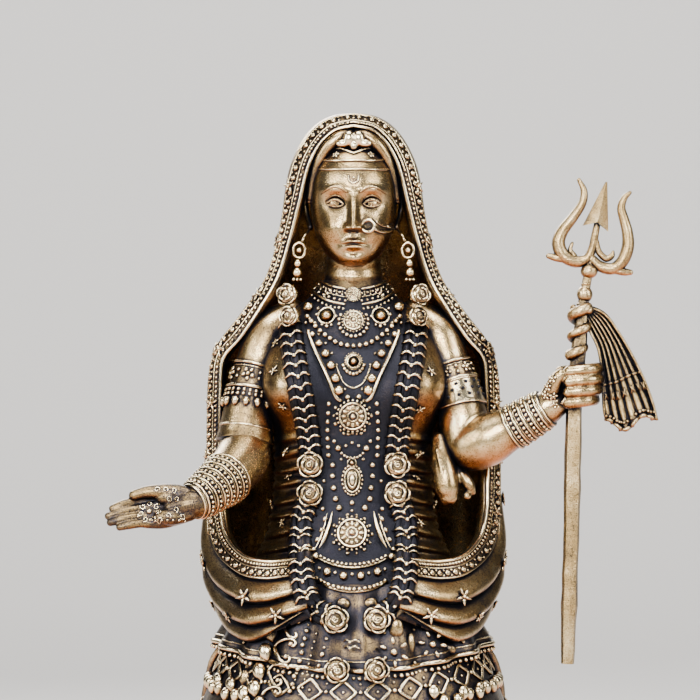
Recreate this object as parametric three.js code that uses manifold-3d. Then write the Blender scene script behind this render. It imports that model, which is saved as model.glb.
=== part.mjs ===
// A cast brass goddess figurine on a low round base, with the separate trident in its left hand.
// Millimetres, +Z up. The figure faces -Y, its own right hand is on the -X side, and the origin
// is the centre of the base's underside.

import * as THREE from 'three';
import { mergeVertices } from 'three/addons/utils/BufferGeometryUtils.js';
import Module from 'manifold-3d';

const wasm = await Module();
wasm.setup();

// Driving dimensions
const HEIGHT = 110;
const BASE_RADIUS = 25;
const BASE_HEIGHT = 4.6;
const HEM_RADIUS = 22.6;
const WAIST_HEIGHT = 64.5;
const SKIRT_DEPTH_RATIO = 0.88;
const SKIRT_PLEATS = 16;
const PLEAT_DEPTH = 0.5;
const TIER_HEIGHT = 11.6;
const TIER_FLARE = 0.6;
const TIERS = 4;
const VEIL_PANEL_GAP = 1.5;
const VEIL_RECESS_BACK = 3.4;
const HEAD_CENTRE = [0, -0.9, 100.7];
const HEAD_RADII = [4.3, 4.7, 6.3];
const BUST_RADIUS = 3.2;
const ARM_SIDES = 10;
const FINGER_RADIUS = 0.55;
const STAFF_RADIUS = 0.78;
const STAFF_FORWARD = -7;
const STAFF_CLEARANCE = 0.35;
const PRONG_THICKNESS = 1.1;
const PENNANT_THICKNESS = 0.9;

// Straight-line value of a list of [place, value] stations, which run upwards
function along(stations, place) {
  const last = stations.length - 1;
  if (place <= stations[0][0]) return stations[0][1];
  if (place >= stations[last][0]) return stations[last][1];
  const upper = stations.findIndex(([at]) => at >= place);
  const [fromPlace, fromValue] = stations[upper - 1];
  const [toPlace, toValue] = stations[upper];
  return fromValue + (toValue - fromValue) * (place - fromPlace) / (toPlace - fromPlace);
}

// A closed geometry as a solid that can be joined and cut
function solid(geometry) {
  geometry.deleteAttribute('normal');
  geometry.deleteAttribute('uv');
  const merged = mergeVertices(geometry);
  return new wasm.Manifold(new wasm.Mesh({
    numProp: 3,
    vertProperties: new Float32Array(merged.attributes.position.array),
    triVerts: new Uint32Array(merged.index.array),
  }));
}

function joined(solids) {
  return solids.reduce((whole, piece) => whole.add(piece));
}

// A stack of rings at the given heights. section(height, turn) gives [x, y] on the wall, and a z
// of its own where the ring isn't level, with turn 0 at the front and a quarter turn at +X.
function ringStack(heights, segments, section) {
  const rings = heights.length - 1;
  const geometry = new THREE.CylinderGeometry(1, 1, 1, segments, rings);
  const position = geometry.attributes.position;
  for (let i = 0; i < position.count; i++) {
    const reach = Math.hypot(position.getX(i), position.getZ(i));
    const turn = Math.atan2(position.getX(i), position.getZ(i));
    const height = heights[Math.round((position.getY(i) + 0.5) * rings)];
    const [x, y, z = height] = section(height, turn);
    position.setXYZ(i, x * reach, y * reach, z);
  }
  return solid(geometry);
}

// A round limb through stations [x, y, z, radius], smooth between them, with an optional
// flattening of its section across the reference direction
function limb(stations, { sides = ARM_SIDES, steps = 2, flat = 1, reference = [0, 1, 0] } = {}) {
  const curve = new THREE.CatmullRomCurve3(stations.map(([x, y, z]) => new THREE.Vector3(x, y, z)));
  const spans = stations.length - 1;
  const rings = spans * steps;
  const radii = stations.map(([, , , radius], i) => [i / spans, radius]);
  const geometry = new THREE.CylinderGeometry(1, 1, 1, sides, rings);
  const position = geometry.attributes.position;
  const ref = new THREE.Vector3(...reference);
  for (let i = 0; i < position.count; i++) {
    const t = Math.round((position.getY(i) + 0.5) * rings) / rings;
    const radius = along(radii, t);
    const tangent = curve.getTangent(t);
    const across = tangent.clone().cross(ref).normalize();
    const over = across.clone().cross(tangent);
    const point = curve.getPoint(t)
      .addScaledVector(across, position.getX(i) * radius)
      .addScaledVector(over, position.getZ(i) * radius * flat);
    position.setXYZ(i, point.x, point.y, point.z);
  }
  return solid(geometry);
}

// A ball with its own radius along each axis
function ball([x, y, z], [rx, ry, rz], widthSegments = 12, heightSegments = 8) {
  const geometry = new THREE.SphereGeometry(1, widthSegments, heightSegments);
  geometry.scale(rx, ry, rz);
  geometry.translate(x, y, z);
  return solid(geometry);
}

// A flat outline in the XZ plane, from the lowest y to the highest
function slab(points, fromY, toY) {
  const shape = new THREE.Shape(points.map(([x, z]) => new THREE.Vector2(x, z)));
  const geometry = new THREE.ExtrudeGeometry(shape, { depth: toY - fromY, bevelEnabled: false });
  geometry.rotateX(Math.PI / 2);
  geometry.translate(0, toY, 0);
  return solid(geometry);
}

// The same outline on both sides of the middle plane, given for +X from bottom to top
function mirroredOutline(points) {
  const otherSide = points.map(([x, z]) => [-x, z]).reverse();
  return [...points, ...otherSide];
}

// Base: a low round disc with a softened upper edge
function base() {
  const edge = 0.8;
  const profile = [
    new THREE.Vector2(0, 0),
    new THREE.Vector2(BASE_RADIUS, 0),
    new THREE.Vector2(BASE_RADIUS, BASE_HEIGHT - edge - 0.6),
    new THREE.Vector2(BASE_RADIUS - edge, BASE_HEIGHT - 0.6),
    new THREE.Vector2(BASE_RADIUS - edge, BASE_HEIGHT),
    new THREE.Vector2(0, BASE_HEIGHT),
  ];
  const geometry = new THREE.LatheGeometry(profile, 32);
  geometry.rotateX(Math.PI / 2);
  geometry.scale(1, SKIRT_DEPTH_RATIO + 0.02, 1);
  return solid(geometry);
}

// Half width of the skirt at a height, without its pleats
const SKIRT_PROFILE = [
  [0, HEM_RADIUS], [9, 22.5], [16, 22], [24, 21.1], [32, 20], [40, 18.4],
  [46, 16.9], [51.3, 15.1], [57.5, 12.3], [61, 9.8], [WAIST_HEIGHT, 7.4],
];

// Share of a pleat's full depth at a height: none at the waist, all of it at the hem
function pleatShare(z) {
  return Math.min(1, Math.max(0, (56 - z) / 40));
}

function skirtSection(z, turn, outward = 0) {
  const pleat = PLEAT_DEPTH * pleatShare(z) * Math.cos(SKIRT_PLEATS * turn);
  const halfWidth = along(SKIRT_PROFILE, z) + pleat + outward;
  return [halfWidth * Math.sin(turn), -halfWidth * SKIRT_DEPTH_RATIO * Math.cos(turn)];
}

// Skirt: a bell of pleated tiers, each standing proud of the one below at its hem
function skirt() {
  const step = 0.15;
  const bottom = BASE_HEIGHT - 0.5;
  const heights = [bottom];
  for (let tier = 1; tier <= TIERS; tier++) {
    const seam = bottom + tier * TIER_HEIGHT;
    heights.push(seam - step, seam + step);
  }
  heights.push(57.5, WAIST_HEIGHT);
  return ringStack(heights, 4 * SKIRT_PLEATS, (z, turn) => {
    const inTier = ((z - bottom) % TIER_HEIGHT) / TIER_HEIGHT;
    const flare = z < bottom + TIERS * TIER_HEIGHT + step ? TIER_FLARE * (1 - inTier) : 0;
    return skirtSection(z, turn, flare);
  });
}

// Back panel of the veil, lying on the skirt from the hips down to a round hem
function backPanel() {
  const heights = [20, 30, 40, 51.3, 57.5, 62];
  const folds = 9;
  const cover = ringStack(heights, 36, (z, turn) => {
    const fold = 0.35 * Math.cos(folds * turn);
    return skirtSection(z, turn, VEIL_PANEL_GAP + fold);
  });
  const outline = mirroredOutline([[5, 22], [9.5, 24], [12.4, 28], [13.6, 36], [13.4, 56], [12, 62]]);
  return cover.intersect(slab(outline, 2, 30));
}

// Peplum: the flared lower edge of the long blouse, dipping towards the front
function peplum() {
  const top = 62.5;
  const sideHem = 57;
  const frontDip = 2;
  const widths = [[0, 13.2], [0.12, 13.7], [0.4, 12.4], [1, 10.6]];
  return ringStack(widths.map(([share]) => share), 32, (share, turn) => {
    const hem = sideHem - frontDip * Math.cos(turn) ** 2;
    const halfWidth = along(widths, share);
    return [
      halfWidth * Math.sin(turn),
      -halfWidth * SKIRT_DEPTH_RATIO * Math.cos(turn),
      hem + share * (top - hem),
    ];
  });
}

// Veil: one block from the crown to the hips, with the recess that the body stands in
const VEIL_STATIONS = [
  // height, half width, back, front
  [56.6, 11.6, 11.4, 8.2],
  [62, 14.0, 11.3, 6.2],
  [66, 14.6, 10.8, 4.6],
  [72, 14.6, 10.2, 3.6],
  [82, 14.5, 9.2, 3.2],
  [86, 13.9, 8.8, 3.6],
  [88.5, 12.7, 8.4, 4.0],
  [90.5, 11.3, 8.0, 4.0],
  [92.5, 9.6, 7.6, 3.6],
  [95, 8.2, 7.4, 3.2],
  [103, 6.6, 7.2, 3.0],
  [106, 5.7, 6.4, 3.0],
  [108.2, 4.2, 5.0, 2.6],
  [109.5, 2.4, 3.2, 1.8],
  [HEIGHT, 0.6, 0.9, 0.6],
];

// Inner edge of the veil as the front shows it, for the +X side, from the hips to the crown
const VEIL_OPENING = [
  [4, 66.0], [9.5, 65.6], [12.0, 67.2], [13.0, 70], [13.2, 76], [13.1, 83.5], [12.6, 86],
  [11.0, 87.8], [9.1, 90.4], [7.5, 93.4], [6.2, 97.6], [5.3, 101], [4.5, 104.4], [3.4, 106.6],
  [1.6, 107.9],
];

function veil() {
  const heights = VEIL_STATIONS.map(([z]) => z);
  const column = (index) => VEIL_STATIONS.map((station) => [station[0], station[index]]);
  const [widths, backs, fronts] = [column(1), column(2), column(3)];
  const block = ringStack(heights, 34, (z, turn) => {
    const depth = Math.cos(turn) > 0 ? along(fronts, z) : along(backs, z);
    return [along(widths, z) * Math.sin(turn), -depth * Math.cos(turn)];
  });
  return block.subtract(slab(mirroredOutline(VEIL_OPENING), -30, VEIL_RECESS_BACK));
}

// Folds of the veil drawn forward round one hip to the waist, as a border and three rolls below
function hipFolds(side) {
  const folds = [
    [[14.0, 1.5, 69.0, 0.7], [12.6, -3.6, 66.4, 0.9], [10.2, -6.8, 65.2, 1.0], [8.2, -8.4, 65.3, 1.0],
      [5.6, -9.0, 65.9, 0.9]],
    [[13.9, 1.5, 65.6, 0.8], [12.2, -4.2, 63.3, 1.2], [10.0, -7.4, 62.5, 1.3], [7.6, -9.0, 63.2, 1.2],
      [5.0, -9.4, 64.4, 0.9]],
    [[13.4, 1.5, 63.0, 0.8], [11.7, -4.8, 61.1, 1.2], [9.6, -8.0, 60.2, 1.4], [7.0, -9.8, 61.0, 1.2],
      [4.6, -9.9, 62.6, 0.9]],
    [[12.6, 1.5, 60.2, 0.8], [11.0, -5.2, 58.9, 1.0], [9.4, -8.2, 58.3, 1.1], [7.6, -9.6, 58.9, 1.0],
      [5.4, -9.9, 60.6, 0.8]],
  ];
  return folds.map((fold) => limb(
    fold.map(([x, y, z, radius]) => [side * x, y, z, radius]),
    { sides: 6, steps: 1, reference: [0, 0, 1] },
  ));
}

// Trunk: hips, waist, chest and shoulders in one stack, with the bust and the neck
function trunk() {
  const stations = [
    // height, half width, back, front
    [60, 11.2, 9, 9.2],
    [64, 11.4, 9, 8.8],
    [66.2, 9.6, 8, 7.6],
    [68.5, 8.3, 7, 6.8],
    [73, 7.6, 6, 6.2],
    [78, 7.8, 6, 6.3],
    [82, 8.6, 6, 6.4],
    [86, 8.9, 6, 5.6],
    [88.6, 8.0, 5.5, 4.6],
    [90.6, 5.0, 5, 3.8],
    [91.8, 2.9, 4, 3.2],
  ];
  const column = (index) => stations.map((station) => [station[0], station[index]]);
  const [widths, backs, fronts] = [column(1), column(2), column(3)];
  const torso = ringStack(stations.map(([z]) => z), 18, (z, turn) => {
    const depth = Math.cos(turn) > 0 ? along(fronts, z) : along(backs, z);
    return [along(widths, z) * Math.sin(turn), -depth * Math.cos(turn)];
  });
  const neck = limb([[0, 0.4, 88, 3.0], [0, -0.2, 92, 2.4], [0, -0.8, 97, 2.5]], { steps: 2 });
  const bust = [-1, 1].map((side) => ball([side * 5.6, -4.2, 82], [BUST_RADIUS, 3.4, BUST_RADIUS], 12, 6));
  return [torso, neck, ...bust];
}

// Head: an egg with a plain nose, a chin, parted hair and the band across the brow
function head() {
  const [x, y, z] = HEAD_CENTRE;
  const skull = ball(HEAD_CENTRE, HEAD_RADII, 14, 11);
  const hair = ball([x, y + 1.5, z + 1.6], [4.7, 4.6, 5.4], 12, 7);
  const nose = limb([[x, y - 4.3, z + 0.9, 0.35], [x, y - 5.1, z - 1.3, 0.75]], { sides: 8, steps: 1 });
  const chin = ball([x, y - 2.6, z - 5.0], [1.5, 1.6, 1.3], 10, 8);
  return [skull, hair, nose, chin];
}

// Fingers from a knuckle line, fanned by the spread and bent by the curl
function openFingers(knuckles, tips) {
  return knuckles.map((knuckle, i) => {
    const tip = tips[i];
    const bend = knuckle.map((value, axis) => 0.45 * value + 0.55 * tip[axis]);
    bend[2] += 0.35;
    return limb([
      [...knuckle, FINGER_RADIUS],
      [...bend, FINGER_RADIUS],
      [...tip, FINGER_RADIUS * 0.7],
    ], { sides: 6, steps: 1 });
  });
}

// Right arm: upper arm down, forearm forward and outward, hand open with the palm up
function openArm() {
  const arm = limb([
    [-8.4, -0.6, 87.8, 2.3], [-10.2, -1.6, 84.6, 1.9], [-10.7, -2.2, 81, 1.7], [-11.4, -3.0, 77, 1.9],
    [-13.7, -6.6, 74.2, 1.8], [-16.4, -10.8, 71.2, 1.35],
  ], { reference: [1, 0, 0] });
  const palm = limb([
    [-16.2, -10.6, 71.3, 1.2], [-18.1, -11.8, 70.6, 1.9], [-20.4, -12.6, 70.2, 1.7],
  ], { sides: 10, steps: 2, flat: 0.55, reference: [0, -0.6, 0.8] });
  const knuckles = [[-20.1, -11.3, 71.3], [-20.3, -12.2, 70.8], [-20.1, -13.1, 70.2], [-19.7, -13.8, 69.6]];
  const tips = [[-23.6, -12.2, 70.6], [-24.4, -13.2, 70.0], [-24.0, -14.0, 69.3], [-23.2, -14.7, 68.8]];
  const thumb = limb([
    [-17.4, -10.6, 71.8, 0.75], [-19.0, -10.8, 72.9, 0.65], [-20.9, -11.4, 73.0, 0.5],
  ], { sides: 8, steps: 1 });
  return [arm, palm, thumb, ...openFingers(knuckles, tips)];
}

// Left arm: upper arm down, forearm outward and a little up, hand closed round the staff
function holdingArm() {
  const arm = limb([
    [8.4, -0.6, 87.8, 2.3], [10.2, -1.6, 84.6, 1.9], [10.6, -2.3, 81, 1.7], [11.1, -3.1, 76.4, 2.0],
    [15.2, -4.6, 77.0, 1.95], [20.6, -6.6, 80.4, 1.3],
  ], { reference: [0, 1, 0] });
  const fist = ball([21.7, STAFF_FORWARD + 0.1, 82.0], [2.2, 2.0, 2.3], 12, 9);
  const wrist = limb([[19.6, -6.2, 79.8, 1.4], [21.8, -6.9, 81.6, 1.5]], { steps: 1 });
  return [arm, wrist, fist];
}

// Long garland: one strand down each side of the chest, meeting below the belt
function garland(side) {
  return limb([
    [5.9, -5.0, 88.4, 1.0], [5.3, -7.4, 83.4, 1.1], [4.4, -6.9, 78.6, 1.1], [4.2, -7.0, 74, 1.1],
    [4.7, -8.2, 69, 1.1], [4.9, -9.6, 64.6, 1.1], [4.4, -10.6, 62, 1.1], [1.9, -11.6, 60, 1.2],
  ].map(([x, y, z, radius]) => [side * x, y, z, radius]), { sides: 6, steps: 1 });
}

// Round medallions and the pairs of roses down the front, as short upright discs
function frontDiscs() {
  const middle = [
    // x, y of the face, height, radius
    [0, -8.4, 79.9, 1.5], [0, -8.0, 73.8, 1.2], [0, -9.4, 68.4, 1.6], [0, -6.6, 88.9, 1.0],
  ];
  const paired = [[4.0, -8.6, 74.9, 1.15], [4.3, -9.0, 72.2, 1.15], [1.9, -12.8, 59.9, 1.5],
    [1.8, -13.7, 55.6, 1.4]];
  const all = [...middle];
  for (const [x, y, z, radius] of paired) all.push([x, y, z, radius], [-x, y, z, radius]);
  return all.map(([x, y, z, radius]) => {
    const depth = 3.2;
    const geometry = new THREE.CylinderGeometry(radius, radius, depth, 8);
    geometry.translate(x, y + depth / 2, z);
    return solid(geometry);
  });
}

// The staff's middle line, from its lower end to the tip of the middle spearhead
const STAFF_LINE = [
  [20.95, 55.6], [21.3, 68], [21.6, 81], [22.2, 88], [22.6, 91.7], [23.1, 94.4], [23.35, 96],
];

function staffAt(radius) {
  return limb(STAFF_LINE.map(([x, z]) => [x, STAFF_FORWARD, z, radius]), { sides: 8, steps: 1 });
}

const figureParts = [
  base(), skirt(), peplum(), backPanel(), veil(),
  ...hipFolds(1), ...hipFolds(-1), ...trunk(), ...head(), ...openArm(), ...holdingArm(),
  garland(1), garland(-1), ...frontDiscs(),
];
const figure = joined(figureParts).subtract(staffAt(STAFF_RADIUS + STAFF_CLEARANCE));

// A flat curved bar through stations [x, z, half width], as one outline
function barOutline(stations) {
  const curve = new THREE.CatmullRomCurve3(stations.map(([x, z]) => new THREE.Vector3(x, 0, z)));
  const spans = stations.length - 1;
  const steps = Math.round(spans * 1.2);
  const widths = stations.map(([, , half], i) => [i / spans, half]);
  const left = [];
  const right = [];
  for (let i = 0; i <= steps; i++) {
    const t = i / steps;
    const point = curve.getPoint(t);
    const tangent = curve.getTangent(t);
    const half = along(widths, t);
    left.push([point.x - tangent.z * half, point.z + tangent.x * half]);
    right.push([point.x + tangent.z * half, point.z - tangent.x * half]);
  }
  return [...right, ...left.reverse()];
}

function flatBar(stations) {
  return slab(barOutline(stations), STAFF_FORWARD - PRONG_THICKNESS / 2, STAFF_FORWARD + PRONG_THICKNESS / 2);
}

// Trident head: two curved outer prongs, the middle spearhead and the knobs below
function tridentHead() {
  const leftProng = flatBar([
    [22.0, 103.0, 0.12], [22.4, 101.6, 0.42], [21.9, 100, 0.45], [20.6, 98.6, 0.5], [19.8, 97, 0.6],
    [20.0, 95.5, 0.6], [21.4, 94.8, 0.55], [23.1, 95.0, 0.6],
  ]);
  const rightProng = flatBar([
    [27.1, 101.6, 0.12], [26.5, 100.5, 0.42], [26.3, 99, 0.42], [26.8, 97.4, 0.5], [26.7, 95.8, 0.6],
    [25.9, 94.6, 0.6], [24.6, 94.2, 0.55], [23.1, 94.9, 0.6],
  ]);
  const spearhead = slab([
    [24.75, 102.7], [22.75, 98.7], [23.1, 98.0], [22.9, 95.2], [23.9, 95.0], [24.5, 97.7], [25.15, 98.2],
  ], STAFF_FORWARD - 0.6, STAFF_FORWARD + 0.6);
  const knobs = [
    ball([23.05, STAFF_FORWARD, 94.2], [0.95, 0.95, 0.8], 8, 5),
    ball([22.6, STAFF_FORWARD, 91.7], [0.85, 0.85, 1.0], 8, 5),
  ];
  return [leftProng, rightProng, spearhead, ...knobs];
}

// Ribbon wound down the staff from the knot
function ribbon() {
  const turns = 2.5;
  const steps = 12;
  const points = [];
  for (let i = 0; i <= steps; i++) {
    const share = i / steps;
    const angle = 2 * Math.PI * turns * share;
    const height = 90.4 - 4.6 * share;
    points.push([22.25 - 0.35 * share + 0.6 * Math.cos(angle), STAFF_FORWARD - 0.6 * Math.sin(angle), height, 0.5]);
  }
  return limb(points, { sides: 5, steps: 1, reference: [0, 0, 1] });
}

// Pennant: a cloth gathered at the knot and hanging outward to a wavy hem
function pennant() {
  const outline = [
    [22.6, 90.7], [23.6, 90.3], [25.3, 88.9], [26.7, 86.5], [28.1, 84.2], [29.3, 81.7], [29.9, 79.9],
    [29.1, 78.8], [28.1, 78.1], [26.9, 78.5], [26.1, 78.7], [25.3, 78.2], [24.6, 78.5], [24.4, 80.4],
    [24.3, 83.5], [24.1, 86], [23.3, 87.7], [22.3, 89.2],
  ];
  const half = PENNANT_THICKNESS / 2;
  const cloth = slab(outline.reverse(), STAFF_FORWARD - half, STAFF_FORWARD + half);
  const knot = ball([22.1, STAFF_FORWARD - 0.3, 90.0], [1.2, 1.1, 0.9], 8, 5);
  return [cloth, knot];
}

const trident = joined([staffAt(STAFF_RADIUS), ...tridentHead(), ribbon(), ...pennant()]);

// A named mesh from a finished solid
function named(name, piece, color, roughness) {
  const mesh = piece.getMesh();
  const geometry = new THREE.BufferGeometry();
  geometry.setAttribute('position', new THREE.BufferAttribute(mesh.vertProperties, 3));
  geometry.setIndex(new THREE.BufferAttribute(mesh.triVerts, 1));
  const material = new THREE.MeshStandardMaterial({ color, roughness, metalness: 1 });
  const result = new THREE.Mesh(geometry, material);
  result.name = name;
  return result;
}

const group = new THREE.Group();
group.add(named('goddess_figure', figure, 0xb09468, 0.35));
group.add(named('trident', trident, 0xb8a07a, 0.3));

export default group;
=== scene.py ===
"""A small cast brass goddess in a veil and a flared skirt, with a trident in her left hand.

Sizes in the sections are millimetres, as a caster would give them, and become metres in finish_piece.
She faces -Y, and +X is the side of the trident.
"""
import math

import bmesh
import bpy
from mathutils import Matrix, Vector
from mathutils.bvhtree import BVHTree
from mathutils.noise import noise


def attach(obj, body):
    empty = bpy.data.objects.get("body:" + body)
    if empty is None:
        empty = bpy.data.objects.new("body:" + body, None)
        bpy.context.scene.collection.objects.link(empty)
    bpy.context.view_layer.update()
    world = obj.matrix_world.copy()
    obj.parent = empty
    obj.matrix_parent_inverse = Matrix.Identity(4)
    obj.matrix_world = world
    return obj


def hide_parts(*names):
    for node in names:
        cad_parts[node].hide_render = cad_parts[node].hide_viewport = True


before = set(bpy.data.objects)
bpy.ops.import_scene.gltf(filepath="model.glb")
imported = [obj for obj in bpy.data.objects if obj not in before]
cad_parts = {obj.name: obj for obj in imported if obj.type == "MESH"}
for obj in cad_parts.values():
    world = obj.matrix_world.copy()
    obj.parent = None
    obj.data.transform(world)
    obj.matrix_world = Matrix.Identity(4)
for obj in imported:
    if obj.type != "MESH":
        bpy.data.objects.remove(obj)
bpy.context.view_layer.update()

# The camera looks level at the chest, from the distance at which the photograph's crop
# takes in 70 mm, so that the skirt runs out of the picture below the hips.
MM = 0.001
EYE_HEIGHT = 86.3
EYE_DISTANCE = 330
EYE_SIDE = -0.35
VIEW_WIDTH = 70
camera_data = bpy.data.cameras.new("camera")
camera_data.sensor_width = 36
camera_data.lens = 36 * EYE_DISTANCE / VIEW_WIDTH
camera_data.clip_start = 0.01
camera_data.clip_end = 10
camera = bpy.data.objects.new("camera", camera_data)
camera.location = Vector((EYE_SIDE, -EYE_DISTANCE, EYE_HEIGHT)) * MM
camera.rotation_euler = (math.radians(90), 0, 0)
bpy.context.scene.collection.objects.link(camera)
bpy.context.scene.camera = camera


# The floor is a plain pale sheet of board that curves up behind into a wall, matt so that it
# shows no mirror image. The wall stands so far back that a camera can go behind the figure.
def linear(hex_colour):
    """sRGB hex to the linear RGBA that a shader takes."""
    channels = [int(hex_colour[i:i + 2], 16) / 255 for i in (1, 3, 5)]
    return [c / 12.92 if c <= 0.04045 else ((c + 0.055) / 1.055) ** 2.4 for c in channels] + [1]


def add_node(tree, kind, settings=(), inputs=(), links=()):
    """Adds a shader node, sets its properties and sockets, and links outputs into it."""
    node = tree.nodes.new(kind)
    for name, value in dict(settings).items():
        setattr(node, name, value)
    for socket, value in dict(inputs).items():
        node.inputs[socket].default_value = value
    for socket, output in dict(links).items():
        tree.links.new(output, node.inputs[socket])
    return node


FLOOR_WIDTH = 3600
FLOOR_FRONT = -900
WALL_BACK = 1200
WALL_HEIGHT = 1500
SWEEP_RADIUS = 500

board = bpy.data.materials.new("pale_board")
board.use_nodes = True
board_shader = board.node_tree.nodes["Principled BSDF"]
board_shader.inputs["Base Color"].default_value = linear("#d9d6d2")
board_shader.inputs["Roughness"].default_value = 0.9
board_shader.inputs["Specular IOR Level"].default_value = 0.2

sweep = bmesh.new()
left = -FLOOR_WIDTH / 2
profile = [sweep.verts.new((left, FLOOR_FRONT, 0)), sweep.verts.new((left, WALL_BACK - SWEEP_RADIUS, 0))]
for step in range(1, 13):
    angle = math.radians(90) * step / 12
    y = WALL_BACK - SWEEP_RADIUS + SWEEP_RADIUS * math.sin(angle)
    profile.append(sweep.verts.new((left, y, SWEEP_RADIUS * (1 - math.cos(angle)))))
profile.append(sweep.verts.new((left, WALL_BACK, WALL_HEIGHT)))
profile_edges = [sweep.edges.new(pair) for pair in zip(profile, profile[1:])]
across = bmesh.ops.extrude_edge_only(sweep, edges=profile_edges)["geom"]
bmesh.ops.translate(sweep, vec=(FLOOR_WIDTH, 0, 0), verts=[v for v in across if isinstance(v, bmesh.types.BMVert)])
bmesh.ops.recalc_face_normals(sweep, faces=sweep.faces)
bmesh.ops.scale(sweep, vec=(MM, MM, MM), verts=sweep.verts)
sweep_mesh = bpy.data.meshes.new("floor")
sweep.to_mesh(sweep_mesh)
sweep.free()
for face in sweep_mesh.polygons:
    face.use_smooth = True
floor = bpy.data.objects.new("floor", sweep_mesh)
floor.data.materials.append(board)
bpy.context.scene.collection.objects.link(floor)


# Studio light: soft boxes to the left, right, front, top and back in a dim room, so that
# polished metal shows hard bright edges against dark reflections, and one more for the wall.
def soft_box(name, place, size, power, aim=(0, 0, 80)):
    data = bpy.data.lights.new(name, "AREA")
    data.shape = "RECTANGLE"
    data.size, data.size_y = (size[0] * MM, size[1] * MM)
    data.energy = power
    lamp = bpy.data.objects.new(name, data)
    lamp.location = Vector(place) * MM
    lamp.rotation_euler = (Vector(aim) - Vector(place)).to_track_quat("-Z", "Y").to_euler()
    bpy.context.scene.collection.objects.link(lamp)


soft_box("left_box", (-330, -240, 220), (140, 220), 2.2)
soft_box("right_box", (330, -220, 230), (120, 220), 1.9)
soft_box("front_box", (-45, -360, 215), (170, 90), 3.4)
soft_box("top_box", (0, -100, 420), (240, 160), 2.6)
soft_box("back_box", (-120, 330, 300), (260, 160), 2.2)
soft_box("wall_box", (0, 650, 800), (1400, 300), 12, (0, 1200, 150))
world = bpy.data.worlds.new("room")
world.use_nodes = True
world.node_tree.nodes["Background"].inputs["Color"].default_value = linear("#8d8c96")
world.node_tree.nodes["Background"].inputs["Strength"].default_value = 0.22
bpy.context.scene.world = world


# Base: the low round disc that carries the figure, cast with it. Its brass is the finish of
# the whole casting: dipped black, then rubbed back so that only what stands proud is bright.
def cast_brass(name, rub=0.5, grain=1.0, shine=0.25, gold="#d2bf96"):
    """Lost-wax brass, blackened and rubbed back. rub is how much of the black is gone, grain
    how strongly the investment's sand shows, shine the roughness of the rubbed metal.
    Faces that point down also get a painted warm reflection, as of a reddish surface below."""
    sand = 0.13 * MM
    patch = 3.2 * MM
    hollow = 1.3 * MM
    material = bpy.data.materials.new(name)
    material.use_nodes = True
    tree = material.node_tree
    shader = tree.nodes["Principled BSDF"]
    place = add_node(tree, "ShaderNodeTexCoord").outputs["Object"]
    sand_noise = add_node(tree, "ShaderNodeTexNoise", inputs={
        "Scale": 1 / sand, "Detail": 3, "Roughness": 0.6}, links={"Vector": place})
    patch_noise = add_node(tree, "ShaderNodeTexNoise", inputs={
        "Scale": 1 / patch, "Detail": 4, "Roughness": 0.65}, links={"Vector": place})
    depth = add_node(tree, "ShaderNodeAmbientOcclusion", {"samples": 8}, {"Distance": hollow})
    open_sky = add_node(tree, "ShaderNodeMapRange", inputs={
        "From Min": 0.42, "From Max": 0.95, "To Min": -0.62, "To Max": 0.0},
        links={"Value": depth.outputs["AO"]})
    patches = add_node(tree, "ShaderNodeMapRange", inputs={
        "From Min": 0.3, "From Max": 0.7, "To Min": rub - 0.16, "To Max": rub + 0.16},
        links={"Value": patch_noise.outputs["Fac"]})
    pits = add_node(tree, "ShaderNodeMapRange", inputs={
        "From Min": 0.3, "From Max": 0.5, "To Min": -0.30 * grain, "To Max": 0.0},
        links={"Value": sand_noise.outputs["Fac"]})
    first = add_node(tree, "ShaderNodeMath", {"operation": "ADD"},
                     links={0: open_sky.outputs["Result"], 1: patches.outputs["Result"]})
    rubbed = add_node(tree, "ShaderNodeMath", {"operation": "ADD", "use_clamp": True},
                      links={0: first.outputs[0], 1: pits.outputs["Result"]})
    colours = add_node(tree, "ShaderNodeValToRGB", links={"Fac": rubbed.outputs[0]})
    stops = [(0.0, "#0a0a12"), (0.2, "#14131d"), (0.34, "#43382b"), (0.54, "#93794e"), (0.8, gold)]
    ramp = colours.color_ramp
    ramp.elements[0].position, ramp.elements[0].color = stops[0][0], linear(stops[0][1])
    ramp.elements[1].position, ramp.elements[1].color = stops[-1][0], linear(stops[-1][1])
    for position, colour in stops[1:-1]:
        ramp.elements.new(position).color = linear(colour)
    # Painted reflection: the further a face points down, the more its colour is multiplied by an orange, as if a warm
    # surface below were mirrored in it.
    way = add_node(tree, "ShaderNodeNewGeometry")
    split = add_node(tree, "ShaderNodeSeparateXYZ", links={"Vector": way.outputs["Normal"]})
    reflection_from_below_share = add_node(tree, "ShaderNodeMapRange", inputs={
        "From Min": -0.05, "From Max": -0.7, "To Min": 0.0, "To Max": 0.85},
        links={"Value": split.outputs["Z"]})
    painted_warm_reflection = add_node(tree, "ShaderNodeMix", {"data_type": "RGBA", "blend_type": "MULTIPLY"},
                    links={0: reflection_from_below_share.outputs["Result"], 6: colours.outputs["Color"]})
    painted_warm_reflection.inputs[7].default_value = linear("#e8894a")
    tree.links.new(painted_warm_reflection.outputs[2], shader.inputs["Base Color"])
    metal = add_node(tree, "ShaderNodeMapRange", inputs={
        "From Min": 0.12, "From Max": 0.4, "To Min": 0.8, "To Max": 1.0},
        links={"Value": rubbed.outputs[0]})
    tree.links.new(metal.outputs["Result"], shader.inputs["Metallic"])
    rough = add_node(tree, "ShaderNodeMapRange", inputs={
        "From Min": 0.1, "From Max": 0.7, "To Min": 0.42, "To Max": shine},
        links={"Value": rubbed.outputs[0]})
    tree.links.new(rough.outputs["Result"], shader.inputs["Roughness"])
    bump = add_node(tree, "ShaderNodeBump", inputs={
        "Strength": 0.5 * grain, "Distance": 0.06 * MM}, links={"Height": sand_noise.outputs["Fac"]})
    tree.links.new(bump.outputs["Normal"], shader.inputs["Normal"])
    return material


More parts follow.
